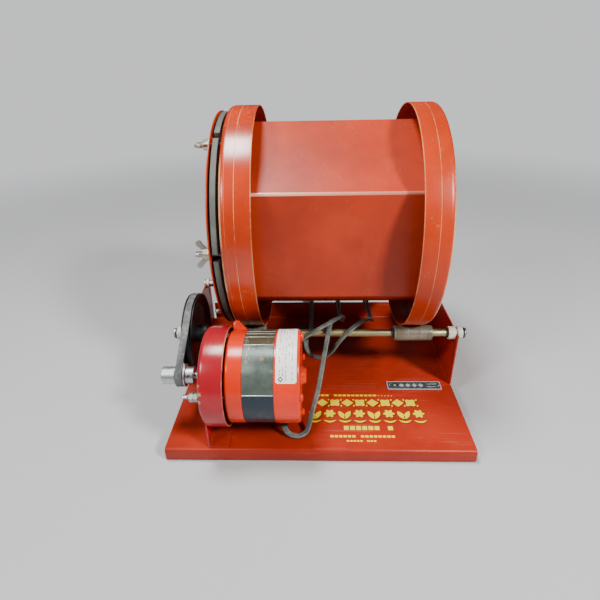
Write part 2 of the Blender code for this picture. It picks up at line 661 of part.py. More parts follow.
def power_cord():
    curve = bpy.data.curves.new("power_cord", "CURVE")
    curve.dimensions = "3D"
    curve.bevel_depth = CORD_R * MM
    curve.bevel_resolution = 2
    curve.use_fill_caps = True
    line = smooth_line(CORD_ROUTE, CORD_STEP)
    spline = curve.splines.new("POLY")
    spline.points.add(len(line) - 1)
    for point, place in zip(spline.points, line):
        point.co = (*(place * MM), 1.0)
    curve.materials.append(cord_rubber())
    made = bpy.data.objects.new("power_cord", curve)
    bpy.context.collection.objects.link(made)


def cord_coil():
    low, high = COIL_LOW, COIL_HIGH
    inner, outer = COIL_R - COIL_HALF_WIDTH, COIL_R + COIL_HALF_WIDTH
    profile = [(low, inner), (low, outer - 1.5), (low + 1.5, outer)]
    profile += [(high - 1.5, outer), (high, outer - 1.5), (high, inner)]
    make("cord_coil", stand_up(turned(profile, 24)), cord_rubber(), (*COIL_CENTRE, 0.0))


def plug():
    """A moulded two-blade plug lying flat, with its blades towards -X."""
    x, y, z = COIL_CENTRE[0] - 27.8, COIL_CENTRE[1] + COIL_R, 6.4
    half = [(0.0, 3.6), (-13.0, 4.6), (-15.0, 8.5), (-22.0, 10.5), (-34.0, 10.5)]
    body = half + [(x, -y) for x, y in reversed(half)]
    made = make("plug", prism(body, "Z", -5.8, 5.8), black_rubber(), (x, y, z))
    for side in (-1, 1):
        blade = block(-50.0, -32.0, side * 6.4 - 0.8, side * 6.4 + 0.8, -3.1, 3.1)
        join(made, tool(f"plug_blade_{side + 2}", blade, (x, y, z)))
    return made


# ---- drum -------------------------------------------------------------------------------------------
def drum_at():
    return (0.0, DRUM_Y, DRUM_Z)


def stud_angles():
    return [HEX_TURN + math.tau * k / STUDS for k in range(STUDS)]


def hex_outline(radius):
    return polygon(HEX_SIDES, radius, HEX_TURN + math.pi / HEX_SIDES)


def pan_profile(closed, mouth, hole):
    """A shallow pan: end disc at `closed`, wall to `mouth`, a centre hole (or none)."""
    way = math.copysign(1.0, mouth - closed)
    outer_r = PAN_R - ROLL_GAP
    small = PAN_CORNER - PAN_SHEET
    centre_x, centre_r = closed + way * PAN_CORNER, outer_r - PAN_CORNER
    turns = [math.pi / 2 * k / 3 for k in range(4)]
    outer = [(mouth, outer_r)]
    outer += [(centre_x - way * PAN_CORNER * math.sin(a), centre_r + PAN_CORNER * math.cos(a)) for a in turns]
    inner = [(closed + way * PAN_SHEET, centre_r), (centre_x, centre_r + small), (mouth, outer_r - PAN_SHEET)]
    bottom = [(closed, hole), (closed + way * PAN_SHEET, hole)]
    if hole == 0.0:
        return bottom[:1] + outer[::-1] + inner[::-1] + bottom[1:]
    return outer + bottom + inner


def left_pan():
    pan = make("left_pan", turned(pan_profile(*LEFT_PAN, 80.0), DRUM_SIDES), paint(), drum_at())
    opening = prism(hex_outline(HEX_R + GAP), "X", LEFT_PAN[0] - 2.0, LEFT_PAN[0] + 3.0)
    cut(pan, tool("left_pan_opening", opening, drum_at()))
    for k, angle in enumerate(stud_angles()):
        y, z = radial(STUD_PCD_R, angle)
        root = LEFT_PAN[0] + 0.6
        profile = [(STUD_END, 0.0), (STUD_END, STUD_R - 0.6), (STUD_END + 0.8, STUD_R)]
        profile += [(root, STUD_R), (root, 0.0)]
        stud = turned(profile, 8)
        bmesh.ops.translate(stud, vec=(0, y, z), verts=stud.verts)
        join(pan, tool(f"stud_{k + 1}", stud, drum_at()))
    return pan


def right_pan():
    return make("right_pan", turned(pan_profile(*RIGHT_PAN, 0.0), DRUM_SIDES), paint(), drum_at())


def hex_shell():
    inner = HEX_R - HEX_SHEET / math.cos(math.pi / HEX_SIDES)
    shell = make("hex_shell", prism(hex_outline(HEX_R), "X", HEX_LEFT, HEX_RIGHT), paint(), drum_at())
    bore = prism(hex_outline(inner), "X", HEX_LEFT - 5.0, HEX_RIGHT + 5.0)
    return cut(shell, tool("hex_bore", bore, drum_at()))


def rubber_liner():
    corner = math.cos(math.pi / HEX_SIDES)
    outer = HEX_R - (HEX_SHEET + 0.4) / corner
    inner = outer - LINER_WALL / corner
    left, right = LINER_FLANGE
    end = HEX_RIGHT - 0.4
    flange = ring(60.0, LINER_FLANGE_R, left, right, DRUM_SIDES)
    liner = make("rubber_liner", flange, black_rubber(), drum_at())
    join(liner, tool("liner_tub", prism(hex_outline(outer), "X", right - 3.0, end), drum_at()))
    bore = prism(hex_outline(inner), "X", left - 4.0, end - LINER_WALL)
    cut(liner, tool("liner_bore", bore, drum_at()))
    for k, angle in enumerate(stud_angles()):
        notch = block(left - 1.0, right + 1.0, -4.2, 4.2, 110.5, LINER_FLANGE_R + 3.0)
        bmesh.ops.rotate(notch, matrix=Matrix.Rotation(math.pi / 2 - angle, 3, "X"), verts=notch.verts)
        cut(liner, tool(f"flange_notch_{k + 1}", notch, drum_at()))
    return liner


def lid_gasket():
    return make("lid_gasket", rod(GASKET_R, *GASKET, 40), black_rubber(), drum_at())


def lid_plate():
    profile = [(LID[0], 0.0), (LID[0], LID_R - 0.5), (LID[0] + 0.6, LID_R), (LID[1], LID_R), (LID[1], 0.0)]
    lid = make("lid_plate", turned(profile, DRUM_SIDES), paint(), drum_at())
    for k, angle in enumerate(stud_angles()):
        y, z = radial(STUD_PCD_R, angle)
        hole = rod(STUD_R + 0.6, LID[0] - 1.0, LID[1] + 1.0, 8)
        bmesh.ops.translate(hole, vec=(0, y, z), verts=hole.verts)
        cut(lid, tool(f"lid_hole_{k + 1}", hole, drum_at()))
    return lid


def wing_outline(side):
    """One wing, in (x, z), of a wing nut whose seat is at x = 0 and which points to -X."""
    turns = [math.pi * (1.32 - 1.30 * k / 4) for k in range(5)]
    bulb = [(-12.2 + 3.4 * math.cos(a), side * (11.4 + 3.4 * math.sin(a))) for a in turns]
    return [(-1.2, side * 4.4), (-7.0, side * 4.2)] + bulb


def wing_nuts():
    bore = STUD_R + GAP
    for k, angle in enumerate(stud_angles()):
        y, z = radial(STUD_PCD_R, angle)
        name = f"wing_nut_{k + 1}"
        at = (LID[0] - GAP, DRUM_Y + y, DRUM_Z + z)
        boss = turned([(0.0, bore), (0.0, 7.2), (-2.0, 7.0), (-9.0, 5.0), (-9.0, bore)], 12)
        nut = make(name, boss, steel(), at)
        nut.rotation_euler.x = math.radians(WING_TURNS[k])
        for side, word in ((-1, "low"), (1, "high")):
            wing = tool(f"{name}_{word}", prism(wing_outline(side), "Y", -1.5, 1.5), at)
            wing.rotation_euler.x = nut.rotation_euler.x
            join(nut, wing)


# ---- the whole machine ------------------------------------------------------------------------------
def clear_scene():
    for old in list(bpy.data.objects):
        bpy.data.objects.remove(old, do_unlink=True)


def build():
    clear_scene()
    base_frame()
    feet()
    nameplate()
    front_shaft_group()
    rear_shaft_group()
    driven_pulley()
    set_screw("driven_set_screw", DRIVEN_SCREW_X, 5.4, 10.2, 0.0, (0, FRONT_Y, SHAFT_Z))
    drive_belt()
    motor_mount()
    motor_left_shell()
    stator()
    stator_winding()
    motor_right_shell()
    rotor()
    cooling_fan()
    motor_bearings()
    through_bolts()
    motor_label()
    motor_pulley()
    set_screw("motor_set_screw", MOTOR_SCREW_X, 4.5, 8.6, SCREW_TURN, motor_at())
    strain_relief()
    power_cord()
    cord_coil()
    plug()
    left_pan()
    right_pan()
    hex_shell()
    rubber_liner()
    lid_gasket()
    lid_plate()
    wing_nuts()


build()
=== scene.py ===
"""The looks of the rotary rock tumbler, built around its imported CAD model.

X runs along the shafts (lid and belt at -X), Y from front to back, Z up, in metres once made. Shapes are
drawn in millimetres and scaled by MM.
"""

import math
import random

import bmesh
import bpy
from mathutils import Matrix, Vector

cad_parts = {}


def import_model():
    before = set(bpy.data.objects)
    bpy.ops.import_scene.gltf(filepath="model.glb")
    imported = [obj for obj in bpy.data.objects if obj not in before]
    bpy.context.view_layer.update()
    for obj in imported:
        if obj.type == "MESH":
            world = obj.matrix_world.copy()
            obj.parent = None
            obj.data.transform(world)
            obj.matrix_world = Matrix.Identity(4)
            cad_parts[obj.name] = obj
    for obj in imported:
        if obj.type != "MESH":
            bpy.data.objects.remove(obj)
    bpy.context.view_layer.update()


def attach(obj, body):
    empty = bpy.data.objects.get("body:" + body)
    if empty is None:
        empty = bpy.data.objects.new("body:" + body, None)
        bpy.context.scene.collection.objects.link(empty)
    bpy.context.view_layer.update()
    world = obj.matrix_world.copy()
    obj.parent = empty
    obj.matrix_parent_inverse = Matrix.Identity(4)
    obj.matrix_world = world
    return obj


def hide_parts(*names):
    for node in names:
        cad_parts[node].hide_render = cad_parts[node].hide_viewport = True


MM = 0.001

# ---- the CAD model's dimensions, in millimetres -------------------------------------------------------
GAP = 0.3
SHAFT_R, SLEEVE_R, SHAFT_Z = 4.7625, 9.5, 88.5
SHAFT_BORE = SHAFT_R + GAP
FRONT_Y, REAR_Y = -34.1, 105.9
PAN_R = 133.1
DRUM_Y, DRUM_Z = 35.9, 213.024
SHEET, FOLD_R = 1.5, 3.0
BASE_HALF_X, BASE_FRONT_Y, BASE_BACK_Y = 170.6, -158.4, 125.0
FLOOR_TOP, LIP_BOTTOM, REAR_FLANGE_TOP = 17.0, 1.5, 44.0
PLATE_FRONT_Y, PLATE_BACK_Y, PLATE_TOP = -46.4, 121.0, 91.0
CORNER_RELIEF, NOTCH_WIDTH = 3.6, 12.6
FOOT_X, FOOT_FRONT_Y, FOOT_REAR_Y = 150.0, -140.0, 104.0
HEX_R, HEX_SHEET, HEX_SIDES = 115.7, 1.2, 6
HEX_TURN = math.radians(1.0)
HEX_LEFT, HEX_RIGHT = -98.2, 131.0
PAN_SHEET, PAN_CORNER = 1.2, 6.0
LEFT_PAN, RIGHT_PAN = (-98.3, -65.8), (132.5, 101.2)
LINER_WALL, LINER_FLANGE, LINER_FLANGE_R = 6.0, (-107.5, -101.5), 127.0
LID_R, LID, GASKET_R, GASKET = 128.0, (-111.2, -110.0), 109.0, (-109.7, -107.8)
STUD_R, STUD_PCD_R, STUD_END, STUDS = 3.175, 115.0, -128.0, 6
MOTOR_Y, MOTOR_Z, MOTOR_R, MOTOR_WALL, MOTOR_SHAFT_R = -114.4, 85.0, 50.4, 1.6, 4.0
CUP_R, CUP = 54.8, (-122.0, -96.3)
LEFT_SHELL, STATOR, RIGHT_SHELL = (-96.0, -78.2), (-78.0, -46.2), (-46.0, -19.3)
FAN_R, BOLT_PCD_R, BOLT_R, BOLTS = 42.5, 46.0, 2.2, 4
BOLT_TURN = math.radians(10.0)
LABEL_FOOT, LABEL_TOP = math.radians(29.0), math.radians(133.0)
WELDS = ((14.5, 0.55), (76.5, 0.5), (91.0, 0.3), (99.0, 0.3), (107.0, 0.3), (180.0, 0.5), (250.0, 0.5))
BELT_X, DRIVEN_PITCH_R, MOTOR_PITCH_R = -153.0, 48.0, 9.6
BELT_OUT, BELT_IN, BELT_HALF_TOP, BELT_HALF_FOOT = 3.0, 2.8, 4.2, 2.6
SCREW_R, DRIVEN_SCREW_X, MOTOR_SCREW_X = 1.6, -143.5, -142.2
SCREW_TURN = math.radians(58.0)
WING_TURNS = (-10.0, 84.0, 40.0, 75.0, 61.0, 61.0)

SURROUND = (0.80, 0.81, 0.83)           # the plain colour round the floor
CAMERA_AT = (-3.642, -507.014, 395.447)
FOCAL_WIDTHS = 448.184 / 600.0          # the focal length over the picture's width

CORD_WIDTH = 6.2
CORD_EXIT_X = -39.0
CORD_DOWN = Vector((0.0, -0.35, -0.937)).normalized()
RELIEF_START, RELIEF_END = 37.5, 57.5
COIL_CENTRE = (-52.0, 191.6)
MOTOR_AT = (0.0, MOTOR_Y, MOTOR_Z)
CORD_AT = (CORD_EXIT_X, MOTOR_Y, MOTOR_Z)
DRUM_AT = (0.0, DRUM_Y, DRUM_Z)
FRONT_AT = (0.0, FRONT_Y, SHAFT_Z)
REAR_AT = (0.0, REAR_Y, SHAFT_Z)

# the cord's route outside the coil, as in the CAD model
CORD_ROUTE = [
    *[tuple(Vector(CORD_AT) + CORD_DOWN * r) for r in (41.0, 49.0, 57.0)],
    (-37.5, -136.7, 26.0), (-33.3, -138.9, 22.0), (-27.4, -140.5, 20.6), (-21.4, -140.2, 20.6),
    (-16.2, -137.2, 21.2), (-12.9, -132.1, 22.6), (-7.5, -117.5, 36.5),
    (0.0, -94.0, 53.5), (6.5, -66.0, 76.0), (11.4, -47.5, 92.0), (14.0, -34.0, 99.2),
    (16.0, -20.0, 96.5), (17.5, 0.0, 83.0), (17.0, 28.0, 59.0), (13.0, 54.0, 35.0), (5.0, 74.0, 22.5),
    (-8.0, 86.0, 20.5), (-26.0, 86.0, 20.5), (-41.0, 72.0, 20.5), (-50.0, 45.0, 20.5), (-54.0, 10.0, 20.5),
    (-56.0, -22.0, 20.5), (-58.5, -40.0, 24.0), (-58.5, -51.5, 36.0), (-52.0, -54.5, 54.0),
    (-40.0, -55.0, 73.0), (-27.0, -56.5, 86.0), (-14.0, -53.0, 95.5), (0.0, -46.0, 101.8),
    (13.5, -38.2, 105.6), (23.0, -27.0, 105.0), (30.0, -13.0, 100.0), (33.0, 4.0, 88.0), (33.5, 28.0, 68.5),
    (33.0, 60.0, 53.0), (32.6, 95.0, 47.7), (32.6, 121.0, 49.0), (32.6, 136.0, 44.0), (32.8, 147.0, 29.0),
    (33.2, 153.0, 12.0), (35.5, 164.0, 4.0), (43.0, 179.0, 3.5), (55.0, 185.0, 3.5), (67.0, 179.0, 3.5),
    (75.0, 164.0, 4.0), (77.2, 153.0, 12.0), (77.6, 147.0, 29.0), (77.6, 136.0, 44.0), (77.6, 121.0, 49.0),
    (77.6, 90.0, 48.5), (77.0, 55.0, 56.0), (74.0, 22.0, 72.0), (68.0, -4.0, 90.0), (58.0, -21.5, 99.0),
    (47.0, -34.1, 99.5), (35.5, -43.6, 94.8), (25.0, -48.2, 84.0), (16.5, -49.0, 70.5), (5.5, -48.4, 61.5),
    (-7.0, -46.0, 61.5), (-15.0, -39.0, 68.5), (-15.0, -25.0, 75.0), (-11.5, -8.0, 70.0), (-10.0, 22.0, 56.0),
    (-9.2, 60.0, 48.5), (-9.2, 95.0, 47.7), (-9.2, 121.0, 49.0), (-9.4, 136.0, 44.0), (-10.0, 147.0, 29.0),
    (-12.0, 153.0, 13.0), (-13.6, 159.0, 5.6), (-14.8, 166.2, 3.6),
]


# ---- node materials -----------------------------------------------------------------------------------
class Look:
    """A Principled material with short names for the nodes that give it detail."""

    def __init__(self, name, colour, roughness=0.5, metallic=0.0, **sockets):
        self.material = bpy.data.materials.new(name)
        self.material.use_nodes = True
        self.tree = self.material.node_tree
        self.shader = self.tree.nodes["Principled BSDF"]
        self.set("Base Color", (*colour, 1.0))
        self.set("Roughness", roughness)
        self.set("Metallic", metallic)
        for socket, value in sockets.items():
            self.set(socket.replace("_", " "), value)
        self.place = self.add("ShaderNodeTexCoord").outputs["Object"]

    def set(self, socket, value):
        if hasattr(value, "is_output"):
            self.tree.links.new(value, self.shader.inputs[socket])
        else:
            self.shader.inputs[socket].default_value = value

    def add(self, kind, inputs=(), **settings):
        node = self.tree.nodes.new(kind)
        for key, value in settings.items():
            setattr(node, key, value)
        for key, value in dict(inputs).items():
            if hasattr(value, "is_output"):
                self.tree.links.new(value, node.inputs[key])
            else:
                node.inputs[key].default_value = value
        return node

    def stretched(self, scale, turn=(0.0, 0.0, 0.0)):
        inputs = {"Vector": self.place, "Scale": scale, "Rotation": turn}
        return self.add("ShaderNodeMapping", inputs).outputs["Vector"]

    def noise(self, scale, detail=3.0, roughness=0.55, distortion=0.0, place=None):
        inputs = {"Vector": place or self.place, "Scale": scale, "Detail": detail}
        inputs.update({"Roughness": roughness, "Distortion": distortion})
        return self.add("ShaderNodeTexNoise", inputs).outputs["Fac"]

    def cells(self, scale):
        inputs = {"Vector": self.place, "Scale": scale}
        return self.add("ShaderNodeTexVoronoi", inputs).outputs["Distance"]

    def steps(self, value, low, high, bottom=0.0, top=1.0):
        """value rescaled from low..high to bottom..top, smoothly and clamped."""
        inputs = {0: value, 1: low, 2: high, 3: bottom, 4: top}
        return self.add("ShaderNodeMapRange", inputs, interpolation_type="SMOOTHSTEP").outputs[0]

    def math(self, operation, a, b=0.0):
        return self.add("ShaderNodeMath", {0: a, 1: b}, operation=operation).outputs[0]

    def times(self, a, b):
        return self.math("MULTIPLY", a, b)

    def plus(self, a, b):
        return self.math("ADD", a, b)

    def minus(self, a, b):
        return self.math("SUBTRACT", a, b)

    def mix(self, share, a, b):
        node = self.add("ShaderNodeMix", data_type="RGBA")
        for socket, value in ((0, share), (6, a), (7, b)):
            if hasattr(value, "is_output"):
                self.tree.links.new(value, node.inputs[socket])
            else:
                node.inputs[socket].default_value = value if socket == 0 else (*value, 1.0)
        return node.outputs[2]

    def axis(self, letter):
        return self.add("ShaderNodeSeparateXYZ", {0: self.place}).outputs[letter]

    def mm(self, letter):
        """The object's own coordinate in millimetres."""
        return self.times(self.axis(letter), 1 / MM)

    def from_axis(self):
        """Distance from the object's X axis in millimetres."""
        y, z = self.axis("Y"), self.axis("Z")
        return self.times(self.math("SQRT", self.plus(self.times(y, y), self.times(z, z))), 1 / MM)

    def distance(self, x, y, z):
        """Distance in millimetres from a point given in millimetres."""
        spot = {0: self.place, 1: (x * MM, y * MM, z * MM)}
        away = self.add("ShaderNodeVectorMath", spot, operation="DISTANCE").outputs["Value"]
        return self.times(away, 1 / MM)

    def band(self, value, centre, half, soft):
        """1 where value is within half of centre, fading over soft."""
        away = self.math("ABSOLUTE", self.minus(value, centre))
        return self.steps(away, half, half + soft, 1.0, 0.0)

    def bump(self, height, distance, strength=1.0):
        inputs = {"Height": height, "Distance": distance, "Strength": strength}
        self.set("Normal", self.add("ShaderNodeBump", inputs).outputs[0])

    def most(self, *values):
        found = values[0]
        for value in values[1:]:
            found = self.math("MAXIMUM", found, value)
        return found

    def scratches(self, along, count, seed=0.0):
        """Thin wandering lines, as long stretched noise. `along` is the axis they mostly follow."""
        scale = [9 if letter == along else 420 for letter in "XYZ"]
        found = []
        for k in range(count):
            place = self.stretched(scale, (0.35 * k - 0.2, 0.25 * k + 0.1, 0.45 * k - 0.3))
            moved = {0: place, 1: (seed + 7.3 * k, 3.1, 1.7)}
            moved = self.add("ShaderNodeVectorMath", moved, operation="ADD").outputs[0]
            found.append(self.steps(self.noise(1.0, 1.0, 0.4, 0.0, moved), 0.66, 0.72))
        patches = self.steps(self.noise(22.0, 2.0), 0.52, 0.62)
        return self.times(self.most(*found), patches)


def worn_and_highlight_rings(look, worn, lines):
    """`worn` with broken worn rings added; one that says "front" is a painted highlight, only on the front of
    a pan's rim.
    """
    x = look.mm("X")
    broken = look.steps(look.noise(17.0, 5.0, 0.7), 0.36, 0.56)
    rim = look.steps(look.from_axis(), PAN_R - 4.6, PAN_R - 3.0)
    front = look.times(look.steps(look.mm("Y"), -85.0, -104.0), rim)
    for centre, half, strength, where in lines:
        ring = look.times(look.band(x, centre, half, half * 1.3), broken)
        # a ring on the front of a pan's rim is a painted highlight on its round corner, in the bare colour
        if where == "front":
            ring = look.times(ring, front)
        worn = look.most(worn, look.times(ring, strength))
    return worn


def chipped(look, worn, spots):
    """`worn` with ragged round chips added."""
    ragged = look.noise(300.0, 4.0, 0.7)
    for x, y, z, radius in spots:
        away = look.math("DIVIDE", look.distance(x, y, z), radius)
        away = look.plus(away, look.times(look.minus(ragged, 0.5), 2.2))
        worn = look.most(worn, look.steps(away, 0.95, 0.75))
    return worn


def painted_fold_highlight(look, body, rough, fold):
    """The front upper fold of the barrel: a painted highlight, stronger towards the lid, and lower roughness
    along it.
    """
    edge = look.steps(look.from_axis(), fold - 0.66, fold - 0.46)
    front = look.steps(look.axis("Y"), 0.0, -0.01)
    edge = look.times(edge, look.times(look.band(look.mm("Z"), 59.0, 8.0, 4.0), front))
    reach = look.steps(look.mm("X"), 90.0, -80.0, 0.35, 0.85)
    # painted highlight: the pale colour on the fold stands in for the light it catches
    body = look.mix(look.times(edge, reach), body, (0.92, 0.48, 0.36))
    return body, look.minus(rough, look.times(edge, 0.24))


def enamel(
    name, colour, roughness, gloss, dust, specks, scratch, lines=(), spots=(), along="X",
    bare=(0.66, 0.40, 0.28), fold=0.0, foot=None,
):
    """Old enamel on sheet steel: slow changes of shade, dust, fine scratches, and wear down to bare metal.

    `lines` are worn rings, or painted highlights where they say "front", as (x, half width, strength, where),
    and `spots` are chips as (x, y, z, radius).
    `fold` is how far the fold with a painted highlight is from the X axis. `foot` is a height and the colour
    below it.
    All lengths are in millimetres.
    """
    look = Look(name, colour, roughness, 0.0, Specular_IOR_Level=gloss)
    dark, pale = tuple(c * 0.7 for c in colour), (0.72, 0.16, 0.08)
    body = look.mix(look.steps(look.noise(9.0, 4.0, 0.6), 0.35, 0.68), dark, colour)
    if foot:
        height, foot_colour = foot
        body = look.mix(look.steps(look.mm("Z"), height, height - 1.5), body, foot_colour)
    haze = look.steps(look.noise(26.0, 6.0, 0.7, 0.6), 0.42, 0.80)
    fine = look.steps(look.noise(420.0, 3.0, 0.7), 0.45, 0.75)
    haze = look.times(look.times(haze, look.plus(fine, 0.6)), dust)
    body = look.mix(haze, body, pale)
    speck = look.steps(look.cells(130.0), 0.075, 0.045)
    speck = look.times(speck, look.steps(look.noise(30.0, 2.0), 0.68, 0.76))
    worn = look.most(look.times(look.scratches(along, 3), scratch), look.times(speck, specks))
    if lines:
        worn = worn_and_highlight_rings(look, worn, lines)
    worn = chipped(look, worn, spots)
    # the bare colour shows worn paint and chips, and the painted highlights on the pans' rims
    body = look.mix(worn, body, bare)
    rough = look.plus(look.plus(look.times(haze, 0.5), roughness), look.times(worn, 0.2))
    # a painted highlight along the fold
    if fold:
        body, rough = painted_fold_highlight(look, body, rough, fold)
    look.set("Base Color", body)
    look.set("Roughness", rough)
    ripple = look.plus(look.times(look.noise(160.0, 3.0), 0.35), look.noise(24.0, 2.0))
    look.bump(look.minus(ripple, look.times(worn, 0.6)), 0.00022, 0.35)
    return look.material


def turned_metal(name, colour, stain, roughness=0.28, stained=0.5, pitch=2600.0):
    """Metal with fine turning marks round its X axis, and stains."""
    look = Look(name, colour, roughness, 1.0)
    marks = look.noise(1.0, 2.0, 0.6, 0.0, look.stretched((pitch, 14, 14)))
    patches = look.steps(look.noise(60.0, 5.0, 0.65, 0.4), 0.42, 0.72)
    spots = look.steps(look.noise(260.0, 4.0, 0.7), 0.58, 0.72)
    tone = look.mix(look.times(patches, stained), colour, stain)
    tone = look.mix(look.times(spots, stained * 0.7), tone, (0.05, 0.045, 0.04))
    look.set("Base Color", look.mix(look.times(marks, 0.3), tone, [c * 0.55 for c in colour]))
    rough = look.plus(look.times(patches, 0.22), roughness)
    look.set("Roughness", look.plus(rough, look.times(marks, 0.12)))
    look.bump(marks, 0.00003, 0.6)
    return look.material


def rubber(name, colour, pale, roughness=0.62, dusty=0.5, scale=60.0, grain=900.0, metallic=0.0, gloss=0.4):
    """Rubber or moulded plastic with a fine grain and dust in patches."""
    look = Look(name, colour, roughness, metallic, Specular_IOR_Level=gloss)
    patches = look.steps(look.noise(scale, 5.0, 0.65, 0.3), 0.40, 0.72)
    dust = look.times(patches, dusty)
    speck = look.steps(look.noise(grain * 0.6, 3.0, 0.7), 0.55, 0.75)
    body = look.mix(dust, colour, pale)
    look.set("Base Color", look.mix(look.times(speck, dusty * 0.45), body, pale))
    look.set("Roughness", look.plus(look.times(patches, 0.18), roughness))
    look.bump(look.noise(grain, 4.0, 0.6), 0.00012, 0.55)
    return look.material


def lamination():
    """Stacked steel sheets: fine lines round the axis, stains, rust and scratches, and painted reflections,
    olive along the top and dark blue along the bottom.
    """
    look = Look("lamination", (0.075, 0.10, 0.088), 0.3, 0.35)
    x = look.mm("X")
    z = look.mm("Z")
    sheets = look.math("SINE", look.times(x, 2 * math.pi / 0.65))
    stains = look.steps(look.noise(60.0, 4.0, 0.6, 0.3), 0.35, 0.75)
    body = look.mix(stains, (0.075, 0.105, 0.090), (0.125, 0.155, 0.132))
    # painted reflection: olive along the top of the stack
    body = look.mix(look.steps(z, 48.6, 49.2), body, (0.085, 0.075, 0.042))
    # painted reflection: dark blue along the bottom of the stack
    body = look.mix(look.steps(z, 12.2, 11.6), body, (0.018, 0.028, 0.045))
    stain = look.plus(look.distance(-58.0, -27.4, 42.3), look.times(look.noise(300.0, 3.0), 2.4))
    body = look.mix(look.steps(stain, 3.6, 2.8), body, (0.30, 0.19, 0.09))
    rust = look.steps(look.noise(70.0, 5.0, 0.7), 0.66, 0.72)
    body = look.mix(look.times(rust, 0.7), body, (0.24, 0.13, 0.05))
    scratch = look.scratches("Y", 4, 4.0)
    body = look.mix(look.times(scratch, 0.5), body, (0.50, 0.52, 0.48))
    look.set("Base Color", look.mix(look.steps(sheets, 0.2, 1.0, 0.0, 0.22), body, (0.05, 0.06, 0.06)))
    look.set("Roughness", look.plus(look.times(stains, 0.12), 0.27))
    look.bump(look.plus(sheets, look.times(scratch, -1.5)), 0.00003, 0.6)
    return look.material


def label_vinyl():
    """A white label, a little stained."""
    look = Look("label_vinyl", (0.94, 0.94, 0.92), 0.38, 0.0, Coat_Weight=0.2, Coat_Roughness=0.2)
    stain = look.steps(look.noise(110.0, 5.0, 0.7, 0.5), 0.48, 0.75)
    body = look.mix(look.times(stain, 0.25), (0.88, 0.88, 0.86), (0.66, 0.64, 0.56))
    look.set("Base Color", body)
    look.set("Roughness", look.plus(look.times(stain, 0.2), 0.36))
    look.bump(look.noise(500.0, 3.0), 0.00005, 0.4)
    return look.material


def sleeve_tube():
    """Old clear rubber tube gone brown, scuffed round its middle by the pans."""
    look = Look("sleeve_tube", (0.20, 0.17, 0.12), 0.42, 0.0, Coat_Weight=0.2, Coat_Roughness=0.3)
    smear = look.noise(1.0, 4.0, 0.65, 0.0, look.stretched((240, 26, 26)))
    patches = look.steps(look.noise(55.0, 5.0, 0.65, 0.5), 0.38, 0.72)
    body = look.mix(patches, (0.115, 0.098, 0.062), (0.21, 0.195, 0.145))
    body = look.mix(look.times(look.steps(smear, 0.48, 0.72), 0.45), body, (0.32, 0.30, 0.24))
    look.set("Base Color", body)
    look.set("Roughness", look.steps(smear, 0.3, 0.8, 0.32, 0.62))
    look.bump(smear, 0.00015, 0.5)
    return look.material


def belt_rubber():
    """A cogless V belt: worn grey rubber with cord lines along its back."""
    look = Look("belt_worn", (0.15, 0.16, 0.155), 0.62, 0.0, Sheen_Weight=0.15)
    x = look.mm("X")
    ribs = look.math("SINE", look.times(x, 2 * math.pi / 1.4))
    patches = look.steps(look.noise(90.0, 5.0, 0.7, 0.4), 0.38, 0.70)
    weave = look.noise(1400.0, 2.0, 0.6)
    body = look.mix(patches, (0.085, 0.098, 0.098), (0.23, 0.25, 0.25))
    look.set("Base Color", look.mix(look.steps(ribs, -0.2, 1.0, 0.0, 0.4), body, (0.045, 0.05, 0.05)))
    look.set("Roughness", look.plus(look.times(weave, 0.25), 0.5))
    look.bump(look.plus(ribs, look.times(weave, 0.6)), 0.00012, 0.7)
    return look.material


def floor_look():
    """Plain pale floor with a slight mottle, which fades into the surround far from the machine."""
    look = Look("studio_floor", (0.48, 0.49, 0.50), 0.9)
    look.set("Specular IOR Level", 0.1)
    body = look.mix(look.noise(3.0, 3.0), (0.47, 0.48, 0.49), (0.50, 0.51, 0.52))
    far = look.add("ShaderNodeVectorMath", {0: look.place}, operation="LENGTH").outputs["Value"]
    seen = look.add("ShaderNodeLightPath").outputs["Is Camera Ray"]
    fade = look.times(look.steps(far, 0.55, 1.9), seen)
    look.set("Base Color", look.mix(fade, body, (0.0, 0.0, 0.0)))
    look.set("Emission Color", (*SURROUND, 1.0))
    look.set("Emission Strength", fade)
    return look.material


